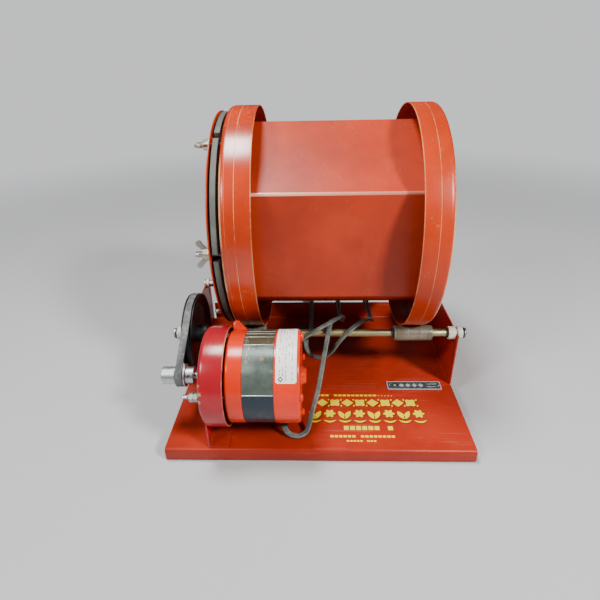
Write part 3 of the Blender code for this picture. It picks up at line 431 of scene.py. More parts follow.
def make_looks():
    """Every finish of the machine, by a short name."""
    red, gold = (0.52, 0.036, 0.003), (0.80, 0.52, 0.24)
    left_lines = ((-82.6, 0.15, 0.6, "all"), (-92.4, 0.14, 0.25, "all"), (-66.2, 0.4, 0.25, "all"))
    # the lines that say "front" are painted highlights on the pans' round corners, the others are worn rings
    left_lines += ((-97.2, 0.8, 0.9, "front"),)
    right_lines = ((117.4, 0.18, 0.4, "all"), (101.7, 0.3, 0.3, "all"), (131.4, 0.7, 0.8, "front"))
    cup_chips = ((-119.8, -47.3, 23.9, 2.4), (-119.8, -50.4, 15.8, 3.0), (-119.8, -52.0, 7.5, 2.8))
    cup_lines = ((-96.8, 0.3, 0.6, "all"),)
    return {
        "base": enamel("base_enamel", (0.40, 0.025, 0.009), 0.36, 0.22, 0.08, 0.25, 0.08),
        # the barrel has a painted highlight along its front upper fold
        "hex": enamel(
            "hex_enamel", (0.46, 0.030, 0.002), 0.44, 0.42, 0.06, 0.05, 0.05, along="Y", fold=HEX_R,
        ),
        "left_pan": enamel(
            "left_pan_enamel", red, 0.24, 0.62, 0.08, 0.3, 0.12, left_lines, along="Y", bare=gold,
        ),
        "right_pan": enamel(
            "right_pan_enamel", red, 0.30, 0.36, 0.08, 0.12, 0.12, right_lines, along="Y", bare=gold,
        ),
        "lid": enamel("lid_enamel", red, 0.32, 0.35, 0.12, 0.25, 0.12, along="Z"),
        "cup": enamel(
            "cup_enamel", (0.46, 0.010, 0.022), 0.22, 0.48, 0.05, 0.15, 0.12, cup_lines, cup_chips, "Y",
            (0.42, 0.26, 0.12), foot=(-CUP_R - 0.5, (0.30, 0.016, 0.003)),
        ),
        "shell": enamel("motor_shell_enamel", (0.88, 0.030, 0.001), 0.22, 0.42, 0.04, 0.2, 0.10),
        "shaft": turned_metal("shaft_steel", (0.46, 0.44, 0.24), (0.30, 0.25, 0.12), 0.34, 0.6, 30.0),
        "steel": turned_metal("plated_steel", (0.56, 0.56, 0.54), (0.34, 0.32, 0.27), 0.27, 0.5),
        "cast": turned_metal("cast_zinc", (0.62, 0.60, 0.52), (0.38, 0.35, 0.26), 0.36, 0.6, 300.0),
        "nut": turned_metal("aged_nut", (0.42, 0.42, 0.38), (0.20, 0.18, 0.13), 0.38, 0.7),
        "aluminium": turned_metal("turned_aluminium", (0.58, 0.61, 0.61), (0.42, 0.43, 0.42), 0.30, 0.35),
        "bronze": turned_metal("bronze", (0.45, 0.28, 0.12), (0.25, 0.15, 0.07), 0.4, 0.5),
        "copper": turned_metal(
            "varnished_copper", (0.55, 0.20, 0.07), (0.30, 0.10, 0.04), 0.35, 0.5, 1800.0,
        ),
        "pulley": rubber(
            "pulley_black", (0.012, 0.012, 0.014), (0.06, 0.06, 0.06), 0.42, 0.30, 60.0, 500.0, 0.5,
        ),
        "rubber": rubber("black_rubber", (0.018, 0.019, 0.019), (0.08, 0.08, 0.075), 0.55, 0.4),
        "liner": rubber("liner_rubber", (0.085, 0.095, 0.085), (0.17, 0.18, 0.16), 0.60, 0.6, 45.0, 700.0),
        "cord": rubber("cord_vinyl", (0.075, 0.092, 0.082), (0.23, 0.255, 0.225), 0.36, 0.5, 80.0, 500.0),
        "nylon": rubber("nylon", (0.72, 0.73, 0.64), (0.46, 0.42, 0.30), 0.42, 0.4, 120.0, 500.0),
        "yellow": rubber(
            "decal_yellow", (0.80, 0.64, 0.0), (0.72, 0.48, 0.0), 0.6, 0.20, 70.0, 500.0, gloss=0.02,
        ),
        "ink": rubber("decal_ink", (0.06, 0.020, 0.008), (0.22, 0.05, 0.02), 0.40, 0.35, 70.0, 500.0),
        "print": rubber("label_print", (0.015, 0.02, 0.03), (0.16, 0.17, 0.18), 0.5, 0.35, 300.0, 500.0),
        "silver": rubber("plate_silver", (0.46, 0.50, 0.52), (0.30, 0.33, 0.34), 0.35, 0.5, 160.0, 500.0),
        "plate": rubber("plate_grey", (0.045, 0.055, 0.06), (0.13, 0.15, 0.15), 0.35, 0.7, 160.0, 500.0),
        "bead": rubber("weld_bright", (0.62, 0.65, 0.62), (0.35, 0.36, 0.33), 0.32, 0.4, 120.0, 600.0, 0.8),
        "lamination": lamination(),
        "label": label_vinyl(),
        "sleeve": sleeve_tube(),
        "belt": belt_rubber(),
        "floor": floor_look(),
    }


# ---- making pieces ------------------------------------------------------------------------------------
def made(name, bm, look, at=(0.0, 0.0, 0.0), sharp=32.0):
    """An object from a bmesh drawn in millimetres about `at`."""
    bmesh.ops.recalc_face_normals(bm, faces=bm.faces)
    bmesh.ops.scale(bm, vec=(MM, MM, MM), verts=bm.verts)
    mesh = bpy.data.meshes.new(name)
    bm.to_mesh(mesh)
    bm.free()
    mesh.shade_smooth()
    mesh.set_sharp_from_angle(angle=math.radians(sharp))
    mesh.materials.append(look)
    obj = bpy.data.objects.new(name, mesh)
    obj.location = Vector(at) * MM
    bpy.context.scene.collection.objects.link(obj)
    return obj


def settle(obj, sharp=32.0):
    """Turns the object's modifiers into its mesh."""
    bpy.context.view_layer.update()
    graph = bpy.context.evaluated_depsgraph_get()
    mesh = bpy.data.meshes.new_from_object(obj.evaluated_get(graph))
    obj.modifiers.clear()
    obj.data = mesh
    mesh.shade_smooth()
    mesh.set_sharp_from_angle(angle=math.radians(sharp))
    return obj


def combine(obj, shapes, operation, sharp=32.0):
    """obj after a Boolean with each shape, which then go."""
    for shape in shapes:
        step = obj.modifiers.new(shape.name, "BOOLEAN")
        step.operation, step.solver, step.object = operation, "EXACT", shape
    settle(obj, sharp)
    for shape in shapes:
        bpy.data.objects.remove(shape, do_unlink=True)
    return obj


def rounded_edges(obj, width, segments=2, angle=40.0):
    step = obj.modifiers.new("edges", "BEVEL")
    step.width, step.segments = width * MM, segments
    step.limit_method, step.angle_limit = "ANGLE", math.radians(angle)
    step.use_clamp_overlap = True
    return settle(obj, 50.0)


def piece(obj, body, replaces=()):
    """Hooks a finished piece to its CAD body."""
    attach(obj, body)
    names = [replaces] if isinstance(replaces, str) else list(replaces)
    if names:
        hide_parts(*names)
    return obj


# ---- shapes -------------------------------------------------------------------------------------------
def soften(points, radius, steps=3, closed=True):
    """An outline with its corners rounded; a corner can say its own radius as a third number."""
    found, count = [], len(points)
    for k, here in enumerate(points):
        own = here[2] if len(here) > 2 else radius
        here2 = Vector(here[:2])
        if own <= 0 or (not closed and k in (0, count - 1)):
            found.append(tuple(here2))
            continue
        before, after = Vector(points[k - 1][:2]), Vector(points[(k + 1) % count][:2])
        back, on = before - here2, after - here2
        if back.length < 1e-6 or on.length < 1e-6:
            found.append(tuple(here2))
            continue
        angle = back.angle(on)
        if angle > math.radians(172):
            found.append(tuple(here2))
            continue
        reach = min(own / math.tan(angle / 2), 0.46 * back.length, 0.46 * on.length)
        start, end = here2 + back.normalized() * reach, here2 + on.normalized() * reach
        for j in range(steps + 1):
            t = j / steps
            found.append(tuple(start * (1 - t) ** 2 + here2 * 2 * t * (1 - t) + end * t ** 2))
    return found


def turned(profile, sides=96):
    """A profile of (x, radius) points turned about X. One that starts and ends on the axis is a solid of
    revolution; any other is a closed outline."""
    bm = bmesh.new()
    angles = [math.tau * k / sides for k in range(sides)]
    rings = []
    for x, radius in profile:
        if radius <= 1e-9:
            rings.append([bm.verts.new((x, 0.0, 0.0))] * sides)
            continue
        rings.append([bm.verts.new((x, -radius * math.cos(a), radius * math.sin(a))) for a in angles])
    pairs = list(zip(rings, rings[1:]))
    if profile[0][1] != 0.0:
        pairs.append((rings[-1], rings[0]))
    for low, high in pairs:
        for k in range(sides):
            after = (k + 1) % sides
            corners = list(dict.fromkeys([low[k], low[after], high[after], high[k]]))
            if len(corners) > 2:
                bm.faces.new(corners)
    return bm


def prism(outline, axis, low, high):
    """A closed outline pushed along an axis. Outlines are (y, z) for X, (x, z) for Y and (x, y) for Z."""
    place = {
        "X": lambda a, b, c: (c, a, b),
        "Y": lambda a, b, c: (a, c, b),
        "Z": lambda a, b, c: (a, b, c),
    }[axis]
    bm = bmesh.new()
    bottom = [bm.verts.new(place(a, b, low)) for a, b in outline]
    top = [bm.verts.new(place(a, b, high)) for a, b in outline]
    bm.faces.new(bottom)
    bm.faces.new(top)
    for k in range(len(outline)):
        after = (k + 1) % len(outline)
        bm.faces.new([bottom[k], bottom[after], top[after], top[k]])
    return bm


def box(x0, x1, y0, y1):
    """The outline of a rectangle."""
    return [(x0, y0), (x1, y0), (x1, y1), (x0, y1)]


def block(x0, x1, y0, y1, z0, z1):
    return prism(box(x0, x1, y0, y1), "Z", z0, z1)


def disc(radius, height, inner=None):
    """A flat round plate or ring that stands on Z = 0."""
    if inner is None:
        return stand_up(turned([(0, 0.0), (0, radius), (height, radius), (height, 0.0)], 32))
    return stand_up(turned([(0, inner), (0, radius), (height, radius), (height, inner)], 40))


def rod(radius, x0, x1, sides=48, edge=0.0):
    profile = [(x0, 0.0), (x0, radius), (x1, radius), (x1, 0.0)]
    return turned(soften(profile, edge, 3, False) if edge else profile, sides)


def ring(inner, outer, x0, x1, sides=64, edge=0.3):
    return turned(soften([(x0, inner), (x0, outer), (x1, outer), (x1, inner)], edge), sides)


def polygon(sides, radius, turn=0.0):
    angles = [turn + math.tau * k / sides for k in range(sides)]
    return [(-radius * math.cos(a), radius * math.sin(a)) for a in angles]


def radial(distance, angle):
    """(y, z) at an angle counted from the front towards up."""
    return -distance * math.cos(angle), distance * math.sin(angle)


def notch_outline(width, centre, top):
    """An open slot with a round foot about `centre`, in (y, z)."""
    y, z = centre
    half, sides = width / 2, 24
    arc = [math.pi + math.pi * k / sides for k in range(sides + 1)]
    points = [(y + half * math.cos(a), z + half * math.sin(a)) for a in arc]
    return points + [(y + half, top), (y - half, top)]


def bent_strip(corners, radius, thickness):
    """The outline of a sheet folded along a line of corners, with round folds."""
    steps = 12
    points = [(Vector(corners[0]), (Vector(corners[1]) - Vector(corners[0])).normalized())]
    for before, here, after in zip(corners, corners[1:], corners[2:]):
        before, here, after = Vector(before), Vector(here), Vector(after)
        come, leave = (here - before).normalized(), (after - here).normalized()
        turn = math.copysign(1.0, come.cross(leave))
        angle = come.angle(leave)
        start = here - come * radius * math.tan(angle / 2)
        centre = start + come.orthogonal() * radius * turn
        for k in range(steps + 1):
            spin = Matrix.Rotation(turn * angle * k / steps, 2)
            points.append((centre + spin @ (start - centre), spin @ come))
    last = (Vector(corners[-1]) - Vector(corners[-2])).normalized()
    points.append((Vector(corners[-1]), last))
    left = [tuple(p + d.orthogonal() * thickness / 2) for p, d in points]
    right = [tuple(p - d.orthogonal() * thickness / 2) for p, d in points]
    return left + right[::-1]


def stand_up(bm):
    bmesh.ops.rotate(bm, matrix=Matrix.Rotation(-math.pi / 2, 3, "Y"), verts=bm.verts)
    return bm


def spun(bm, angle):
    """Turned about X."""
    bmesh.ops.rotate(bm, matrix=Matrix.Rotation(angle, 3, "X"), verts=bm.verts)
    return bm


def shifted(bm, offset):
    bmesh.ops.translate(bm, vec=offset, verts=bm.verts)
    return bm


def gathered(*shapes):
    """Several bmeshes as one."""
    whole = bmesh.new()
    for bm in shapes:
        mesh = bpy.data.meshes.new("gathered")
        bm.to_mesh(mesh)
        bm.free()
        whole.from_mesh(mesh)
        bpy.data.meshes.remove(mesh)
    return whole


def thread(radius, x0, x1, pitch=1.27, sides=32, depth=0.42):
    """A threaded rod, chamfered at x0, as a helix cut into its surface."""
    steps = int(abs(x1 - x0) / pitch * 8)
    rings = []
    for k in range(steps + 1):
        x = x0 + (x1 - x0) * k / steps
        chamfer = 0.78 + 0.22 * min(1.0, k / 6.0)
        row = []
        for j in range(sides):
            a = math.tau * j / sides
            wave = abs(((x / pitch + j / sides) % 1.0) - 0.5) * 2.0
            r = (radius - depth * wave) * chamfer
            row.append((x, -r * math.cos(a), r * math.sin(a)))
        rings.append(row)
    return skinned(rings)


# ---- base ---------------------------------------------------------------------------------------------
def base(looks):
    middle = FLOOR_TOP - SHEET / 2
    folded = bent_strip(
        [
            (BASE_FRONT_Y + SHEET / 2, LIP_BOTTOM),
            (BASE_FRONT_Y + SHEET / 2, middle),
            (BASE_BACK_Y - SHEET / 2, middle),
            (BASE_BACK_Y - SHEET / 2, REAR_FLANGE_TOP),
        ],
        FOLD_R, SHEET,
    )
    tray = made("tumbler_base", prism(folded, "X", -BASE_HALF_X, BASE_HALF_X), looks["base"])
    cuts, plates = [], []
    for side in (-1, 1):
        near, far = BASE_HALF_X - CORNER_RELIEF, BASE_HALF_X + 2.0
        relief = block(side * near, side * far, PLATE_FRONT_Y, BASE_BACK_Y + 2.0, 0.0, 60.0)
        cuts.append(made(f"relief_{side}", relief, looks["base"]))
        middle_x = side * (BASE_HALF_X - SHEET / 2)
        outline = [(side * 150.0, middle), (middle_x, middle), (middle_x, PLATE_TOP)]
        plate = prism(bent_strip(outline, FOLD_R, SHEET), "Y", PLATE_FRONT_Y, PLATE_BACK_Y)
        plates.append(made(f"plate_{side}", plate, looks["base"]))
    combine(tray, cuts, "DIFFERENCE")
    combine(tray, plates, "UNION")
    notches = []
    for k, y in enumerate((FRONT_Y, REAR_Y)):
        notch = prism(notch_outline(NOTCH_WIDTH, (y, SHAFT_Z), PLATE_TOP + 6.0), "X", -175.0, 175.0)
        notches.append(made(f"notch_{k}", notch, looks["base"]))
    combine(tray, notches, "DIFFERENCE")
    rounded_edges(tray, 0.35, 2, 50.0)
    piece(tray, "base", "base_frame")


def feet(looks):
    top = FLOOR_TOP - SHEET - GAP
    profile = [(0.0, 0.0), (0.0, 7.5), (3.0, 9.0), (top - 1.0, 9.5), (top, 9.3), (top, 0.0)]
    for y, row in ((FOOT_FRONT_Y, "front"), (FOOT_REAR_Y, "rear")):
        for x, side in ((-FOOT_X, "left"), (FOOT_X, "right")):
            bm = stand_up(turned(soften(profile, 1.2, 3, False), 48))
            foot = made(f"rubber_foot_{row}_{side}", bm, looks["rubber"], (x, y, 0.0))
            piece(foot, "base", f"foot_{row}_{side}")


def fine_plate(looks):
    """The small plate on the floor: a bright border, a dark field and raised marks that mean nothing."""
    low = FLOOR_TOP + GAP
    high, raised = low + 0.8, low + 0.6
    x0, x1, y0, y1 = 88.5, 157.0, -57.4, -41.8
    edge, middle = 1.1, (y0 + y1) / 2
    inside = soften(box(x0 + edge, x1 - edge, y0 + edge, y1 - edge), 0.6)
    border = made("plate_border", prism(soften(box(x0, x1, y0, y1), 1.2), "Z", low, high), looks["silver"])
    sink = made("plate_sink", prism(inside, "Z", high - 0.25, high + 1.0), looks["steel"])
    piece(combine(border, [sink], "DIFFERENCE"), "base", "nameplate")
    field = made("plate_field", prism(inside, "Z", high - 0.24, high - 0.12), looks["plate"])
    piece(field, "base", ())
    emblem = (98.5, middle, raised)
    # the ring is there twice, face on face, which makes it shade dark
    marks = [shifted(disc(3.8, 0.2, 3.3), emblem) for _ in range(2)]
    marks.append(shifted(disc(1.6, 0.2), emblem))
    for k in range(4):
        x, half, reach = 107.0 + 8.2 * k, 3.4, 3.6
        lozenge = [(x, middle - reach), (x + half, middle), (x, middle + reach), (x - half, middle)]
        marks.append(prism(lozenge, "Z", raised, high))
    for row, width in ((2.6, 13.0), (-2.6, 11.0)):
        marks.append(block(139.0, 139.0 + width, middle + row - 0.4, middle + row + 0.4, raised, high))
    piece(made("plate_marks", gathered(*marks), looks["silver"]), "base", ())
    for k, x in enumerate((91.5, 154.0)):
        rivet = stand_up(turned(soften([(0, 0), (0, 1.6), (0.9, 1.3), (1.2, 0)], 0.5, 4, False), 32))
        rivet = made(f"plate_rivet_{k + 1}", rivet, looks["steel"], (x, middle, high - 0.4))
        piece(rivet, "base", ())


def ribbon(points, width, low, high):
    """A flat stroke along points in (x, y), thinner at its ends."""
    left, right = [], []
    for k, p in enumerate(points):
        before, after = points[max(k - 1, 0)], points[min(k + 1, len(points) - 1)]
        along = (Vector(after) - Vector(before)).normalized()
        across = Vector((-along.y, along.x))
        share = k / (len(points) - 1)
        half = max(0.12, width / 2 * (1 - abs(2 * share - 1) ** 2.2))
        left.append(tuple(Vector(p) + across * half))
        right.append(tuple(Vector(p) - across * half))
    return prism(left + right[::-1], "Z", low, high)


def lobes(x, y, radius, count, depth, turn=0.0):
    """A rosette outline with round lobes."""
    steps = 12 * count
    found = []
    for k in range(steps):
        a = math.tau * k / steps
        r = radius * (1 - depth + depth * math.cos(count * (a - turn)))
        found.append((x + r * math.cos(a), y + r * math.sin(a)))
    return found


def leaf(x, y, length, width, lean):
    """A pointed leaf outline, leaning from upright."""
    cos, sin = math.cos(lean), math.sin(lean)
    found = []
    for side in (1, -1):
        for k in range(12):
            t = k / 12 if side > 0 else 1 - k / 12
            across = side * width / 2 * math.sin(math.pi * t) ** 0.8
            along = length * (t - 0.5)
            found.append((x + across * cos + along * sin, y - across * sin + along * cos))
    return found


def bars(y, x0, pitch, count, width, height, skip=()):
    """A row of small blocks, some left out."""
    places = [x0 + pitch * k for k in range(count) if k not in skip]
    return [soften(box(x, x + width, y - height / 2, y + height / 2), 0.35) for x in places]


def ornament(looks):
    """The yellow printed ornament on the floor: rows of rosettes, leaves and blocks over a dark shadow."""
    low, film = FLOOR_TOP + 0.02, 0.04
    big, strokes = [], []
    for k in range(8):
        x, y = 4.5 + 15.4 * k, -82.0
        if k % 2:
            big.append(lobes(x, y, 7.2, 4, 0.16, math.pi / 4))
        else:
            big.append(soften([(x - 7.4, y), (x, y + 6.8), (x + 7.4, y), (x, y - 6.8)], 0.8))
        for bottom in (y + 4.0, y - 6.6):
            big.append(soften(box(x + 6.9, x + 8.7, bottom, bottom + 2.6), 0.3))
    for k in range(8):
        x, y = -4.5 + 17.6 * k, -102.5 + (1.6 if k % 2 else -0.8)
        if k % 2:
            big.append(lobes(x, y, 7.0, 6, 0.17))
        else:
            big += [leaf(x + side * 3.4, y, 15.0, 6.4, side * 0.5) for side in (-1, 1)]
        wave = [(x - 7.5 + 15.0 * j / 12, -111.6 - 3.0 * math.sin(math.pi * j / 12)) for j in range(13)]
        strokes.append(wave)
    small = bars(-68.5, -2.3, 5.4, 14, 4.2, 3.0, (3,)) + bars(-68.9, 74.5, 4.0, 5, 1.5, 1.4)
    small += bars(-124.5, 28.7, 7.0, 6, 5.6, 6.2) + bars(-124.5, 79.0, 7.0, 1, 5.7, 6.2)
    small += bars(-137.4, 12.7, 4.9, 15, 3.7, 3.4, (6,)) + bars(-144.2, 30.6, 3.75, 9, 2.8, 2.4, (5,))
    shadow = [prism([(x + 0.9, y - 0.9) for x, y in shape], "Z", low, low + 0.03) for shape in big]
    shadow += [ribbon([(x + 0.8, y - 0.8) for x, y in wave], 2.5, low, low + 0.03) for wave in strokes]
    print_on = [prism(shape, "Z", low + film, low + 2 * film) for shape in big + small]
    print_on += [ribbon(wave, 2.5, low + film, low + 2 * film) for wave in strokes]
    piece(made("ornament_shadow", gathered(*shadow), looks["ink"]), "base", ())
    piece(made("ornament_yellow", gathered(*print_on), looks["yellow"]), "base", ())


# ---- shafts -------------------------------------------------------------------------------------------
def sleeve(name, body, at, x0, x1, looks):
    """A rubber tube whose ends draw in a little."""
    profile = [(x0, SHAFT_BORE), (x0, SLEEVE_R - 0.25), (x0 + 3.0, SLEEVE_R)]
    profile += [(x0 + x1 - x, r) for x, r in reversed(profile)]
    tube = made(f"{name}_tube", turned(soften(profile, 0.7), 72), looks["sleeve"], at)
    piece(tube, body, name)


def sleeve_pair(word, body, at, looks):
    sleeve(f"{word}_sleeve_left", body, at, -112.0, -65.0, looks)
    sleeve(f"{word}_sleeve_right", body, at, 93.5, 140.0, looks)


def front_shaft(looks):
    body = "front_shaft"
    shaft = made("drive_shaft", rod(SHAFT_R, -180.8, 180.8, 64, 0.5), looks["shaft"], FRONT_AT)
    piece(shaft, body, "front_shaft")
    sleeve_pair("drive", body, FRONT_AT, looks)
    band = made("sleeve_stop", ring(SHAFT_BORE, 6.4, 90.4, 93.2, 64, 0.9), looks["rubber"], FRONT_AT)
    piece(band, body, "sleeve_ring")
    spool = [(160.0, SHAFT_BORE), (160.0, 8.0), (168.7, 8.0), (168.7, 5.9), (171.0, 5.9), (171.0, 8.0)]
    spool += [(177.2, 8.0), (177.2, SHAFT_BORE)]
    cap = [(182.5, 0.0), (182.3, 2.6), (181.9, 5.7), (181.0, 6.5), (179.6, 6.5), (179.6, SHAFT_BORE)]
    cap += [(181.3, SHAFT_BORE), (181.3, 0.0)]
    for side, word in ((-1, "left"), (1, "right")):
        bm = turned(soften([(side * x, r) for x, r in spool], 0.6), 64)
        bushing = made(f"bushing_{word}", bm, looks["nylon"], FRONT_AT)
        piece(bushing, "base", f"front_bushing_{word}")
        band = ring(SHAFT_BORE, 6.2, side * 157.9, side * 159.7, 64, 0.6)
        band = made(f"spacer_ring_{word}", band, looks["rubber"], FRONT_AT)
        piece(band, body, f"spacer_{word}")
        band = ring(SHAFT_BORE, 6.8, side * 177.5, side * 179.3, 64, 0.6)
        band = made(f"end_ring_{word}", band, looks["rubber"], FRONT_AT)
        piece(band, body, f"end_washer_{word}")
        bm = turned(soften([(side * x, r) for x, r in cap], 0.35, 3, False), 48)
        end = made(f"shaft_cap_{word}", bm, looks["steel"], FRONT_AT)
        piece(end, body, f"push_cap_{word}")


def rear_shaft(looks):
    body = "rear_shaft"
    shaft = made("idler_shaft", rod(SHAFT_R, -174.0, 174.0, 64, 0.5), looks["steel"], REAR_AT)
    piece(shaft, body, "rear_shaft")
    sleeve_pair("idler", body, REAR_AT, looks)
    lining = [(166.0, SHAFT_BORE), (166.0, 7.2), (168.7, 7.2), (168.7, 5.9)]
    lining += [(171.4, 5.9), (171.4, SHAFT_BORE)]
    for side, word in ((-1, "left"), (1, "right")):
        bm = turned(soften([(side * x, r) for x, r in lining], 0.4), 48)
        bushing = made(f"rear_liner_{word}", bm, looks["nylon"], REAR_AT)
        piece(bushing, "base", f"rear_bushing_{word}")
        band = ring(SHAFT_BORE, 6.6, side * 171.8, side * 173.0, 48, 0.25)
        clip = made(f"retaining_clip_{word}", band, looks["steel"], REAR_AT)
        piece(clip, body, f"rear_clip_{word}")


# ---- belt drive ---------------------------------------------------------------------------------------
def across_shaft(x, bm, turn):
    """Something drawn upright on the axis, moved along it and turned round it."""
    return shifted(spun(bm, turn), (x, 0, 0))


def screw_hole(name, x, end, turn, at, look):
    return made(name, across_shaft(x, stand_up(rod(SCREW_R + 0.4, 3.0, end, 32)), turn), look, at)


def set_screw(name, x, start, end, turn, at, looks):
    """A headless screw with a hexagon socket."""
    shank = across_shaft(x, stand_up(rod(SCREW_R, start, end, 32, 0.2)), turn)
    key = [(0.85 * math.cos(a), 0.85 * math.sin(a)) for a in (math.tau * k / 6 for k in range(6))]
    socket = across_shaft(x, prism(key, "Z", end - 1.4, end + 1.0), turn)
    screw = made(name, shank, looks["steel"], at)
    return combine(screw, [made(f"{name}_socket", socket, looks["steel"], at)], "DIFFERENCE")


def driven_pulley(looks):
    rim, foot = DRIVEN_PITCH_R + 2.2, DRIVEN_PITCH_R - BELT_IN - 1.0
    left = [(BELT_X - 6.4, rim), (BELT_X - 4.9, rim), (BELT_X - 3.0, foot)]
    groove = left + [(2 * BELT_X - a, r) for a, r in reversed(left)]
    profile = [(-157.6, SHAFT_BORE), (-157.6, 11.0), (-154.6, 12.5), (-154.6, 39.0)] + groove
    profile += [(-151.4, 39.0), (-151.4, 11.0), (-139.0, 11.0), (-139.0, SHAFT_BORE)]
    wheel = made("shaft_pulley", turned(soften(profile, 0.5), 128), looks["pulley"], FRONT_AT)
    tools = [screw_hole("driven_hole", DRIVEN_SCREW_X, 14.0, 0.0, FRONT_AT, looks["pulley"])]
    combine(wheel, tools, "DIFFERENCE", 28.0)
    piece(wheel, "front_shaft", "driven_pulley")
    screw = set_screw("shaft_pulley_screw", DRIVEN_SCREW_X, 5.4, 10.2, 0.0, FRONT_AT, looks)
    piece(screw, "front_shaft", "driven_set_screw")


def belt_line(extra):
    """The belt's closed line round both pulleys, `extra` outside their pitch radii."""
    big, small = Vector((FRONT_Y, SHAFT_Z)), Vector((MOTOR_Y, MOTOR_Z))
    across = big - small
    lean = math.atan2(across.y, across.x)
    half = math.acos((DRIVEN_PITCH_R - MOTOR_PITCH_R) / across.length)
    points = []
    for centre, radius, first, sweep, steps in (
        (big, DRIVEN_PITCH_R, lean - (math.pi - half), 2 * (math.pi - half), 96),
        (small, MOTOR_PITCH_R, lean + (math.pi - half), 2 * half, 28),
    ):
        for k in range(steps + 1):
            a = first + sweep * k / steps
            points.append(centre + (radius + extra) * Vector((math.cos(a), math.sin(a))))
    return points


def skinned(rings, closed=False):
    """A mesh over rings of points, each joined to the next. It has flat ends, or none if `closed`."""
    bm = bmesh.new()
    rows = [[bm.verts.new(p) for p in row] for row in rings]
    pairs = list(zip(rows, rows[1:]))
    if closed:
        pairs.append((rows[-1], rows[0]))
    for low, high in pairs:
        for j in range(len(low)):
            after = (j + 1) % len(low)
            bm.faces.new([low[j], low[after], high[after], high[j]])
    if not closed:
        bm.faces.new(rows[0])
        bm.faces.new(rows[-1])
    return bm


def drive_belt(looks):
    section = [(-BELT_HALF_TOP, BELT_OUT), (BELT_HALF_TOP, BELT_OUT)]
    section += [(BELT_HALF_FOOT, -BELT_IN), (-BELT_HALF_FOOT, -BELT_IN)]
    loops = [[(BELT_X + x, p.x, p.y) for p in belt_line(out)] for x, out in soften(section, 0.7, 3)]
    piece(made("v_belt", skinned(loops, True), looks["belt"]), "base", "drive_belt")


def motor_pulley(looks):
    bore = MOTOR_SHAFT_R + GAP
    foot = MOTOR_PITCH_R - BELT_IN - 0.6
    profile = [(-173.0, 0.0), (-173.0, 9.2), (-172.4, 9.8), (-158.6, 9.8), (-158.0, 10.6)]
    profile += [(BELT_X - 3.0, foot), (BELT_X + 3.0, foot), (-148.1, 12.8), (-146.5, 12.8), (-146.5, 9.8)]
    profile += [(-137.8, 9.8), (-137.8, bore), (-170.0, bore), (-170.0, 0.0)]
    look = looks["aluminium"]
    wheel = made("motor_wheel", turned(soften(profile, 0.35, 3, False), 96), look, MOTOR_AT)
    centre = made("centre_mark", turned([(-174.0, 0.0), (-174.0, 2.6), (-171.8, 0.0)], 32), look, MOTOR_AT)
    hole = screw_hole("wheel_hole", MOTOR_SCREW_X, 12.0, SCREW_TURN, MOTOR_AT, look)
    combine(wheel, [centre, hole], "DIFFERENCE", 28.0)
    piece(wheel, "motor_rotor", "motor_pulley")
    screw = set_screw("wheel_screw", MOTOR_SCREW_X, 4.5, 8.6, SCREW_TURN, MOTOR_AT, looks)
    piece(screw, "motor_rotor", "motor_set_screw")


# ---- motor --------------------------------------------------------------------------------------------
def bolt_spots():
    return [radial(BOLT_PCD_R, BOLT_TURN + math.tau * k / BOLTS) for k in range(BOLTS)]


def bolt_holes(x0, x1, look, word, every=1):
    return [
        made(f"{word}_{k}", shifted(rod(BOLT_R + 0.5, x0, x1, 24), (0, y, z)), look, MOTOR_AT)
        for k, (y, z) in enumerate(bolt_spots()) if k % every == 0
    ]


def motor_cup(looks):
    """A round cup whose flat end goes on down into a foot on the floor."""
    left, right = CUP
    wall, hole = MOTOR_WALL, 12.0
    profile = [(right, CUP_R), (left, CUP_R, 5.0), (left, hole, 0.3), (left + wall, hole, 0.3)]
    profile += [(left + wall, CUP_R - wall, 3.4), (right, CUP_R - wall)]
    cup = made("motor_cup", turned(soften(profile, 0.4, 6), 160), looks["cup"], MOTOR_AT)
    upright_x, foot_z = left + wall / 2, FLOOR_TOP + GAP + wall / 2
    outline = bent_strip([(-99.0, foot_z), (upright_x, foot_z), (upright_x, 58.0)], FOLD_R, wall)
    foot = made("cup_foot", prism(outline, "Y", -155.0, -74.0), looks["cup"])
    combine(cup, [foot], "UNION", 28.0)
    combine(cup, bolt_holes(left - 1.0, left + 4.0, looks["cup"], "cup_hole", 2), "DIFFERENCE", 28.0)
    piece(cup, "base", "motor_mount")


def end_shell(name, closed, mouth, boss, looks, capped=False):
    """A drawn end shell with a rolled corner and a hub, which closes over the shaft's end if `capped`."""
    way = math.copysign(1.0, mouth - closed)
    inside = closed + MOTOR_WALL * way
    hub, bore, wall = 9.5, MOTOR_SHAFT_R + 0.6, MOTOR_R - MOTOR_WALL
    outer = [(mouth, MOTOR_R, 0.3), (closed, MOTOR_R, 3.2), (closed, hub + 1.0, 1.0)]
    inner = [(inside, bore, 0.3), (inside, wall, 2.4), (mouth, wall, 0.3)]
    if capped:
        cover = boss + 1.4 * way
        profile = [(boss, 0.0), (boss, hub - 1.6, 3.0)] + outer[::-1] + inner[::-1]
        profile += [(cover, bore, 0.3), (cover, 0.0)]
    else:
        profile = outer + [(boss, hub - 0.8, 1.0), (boss, bore, 0.3)] + inner
    return made(name, turned(soften(profile, 0.4, 6, not capped), 160), looks["shell"], MOTOR_AT)


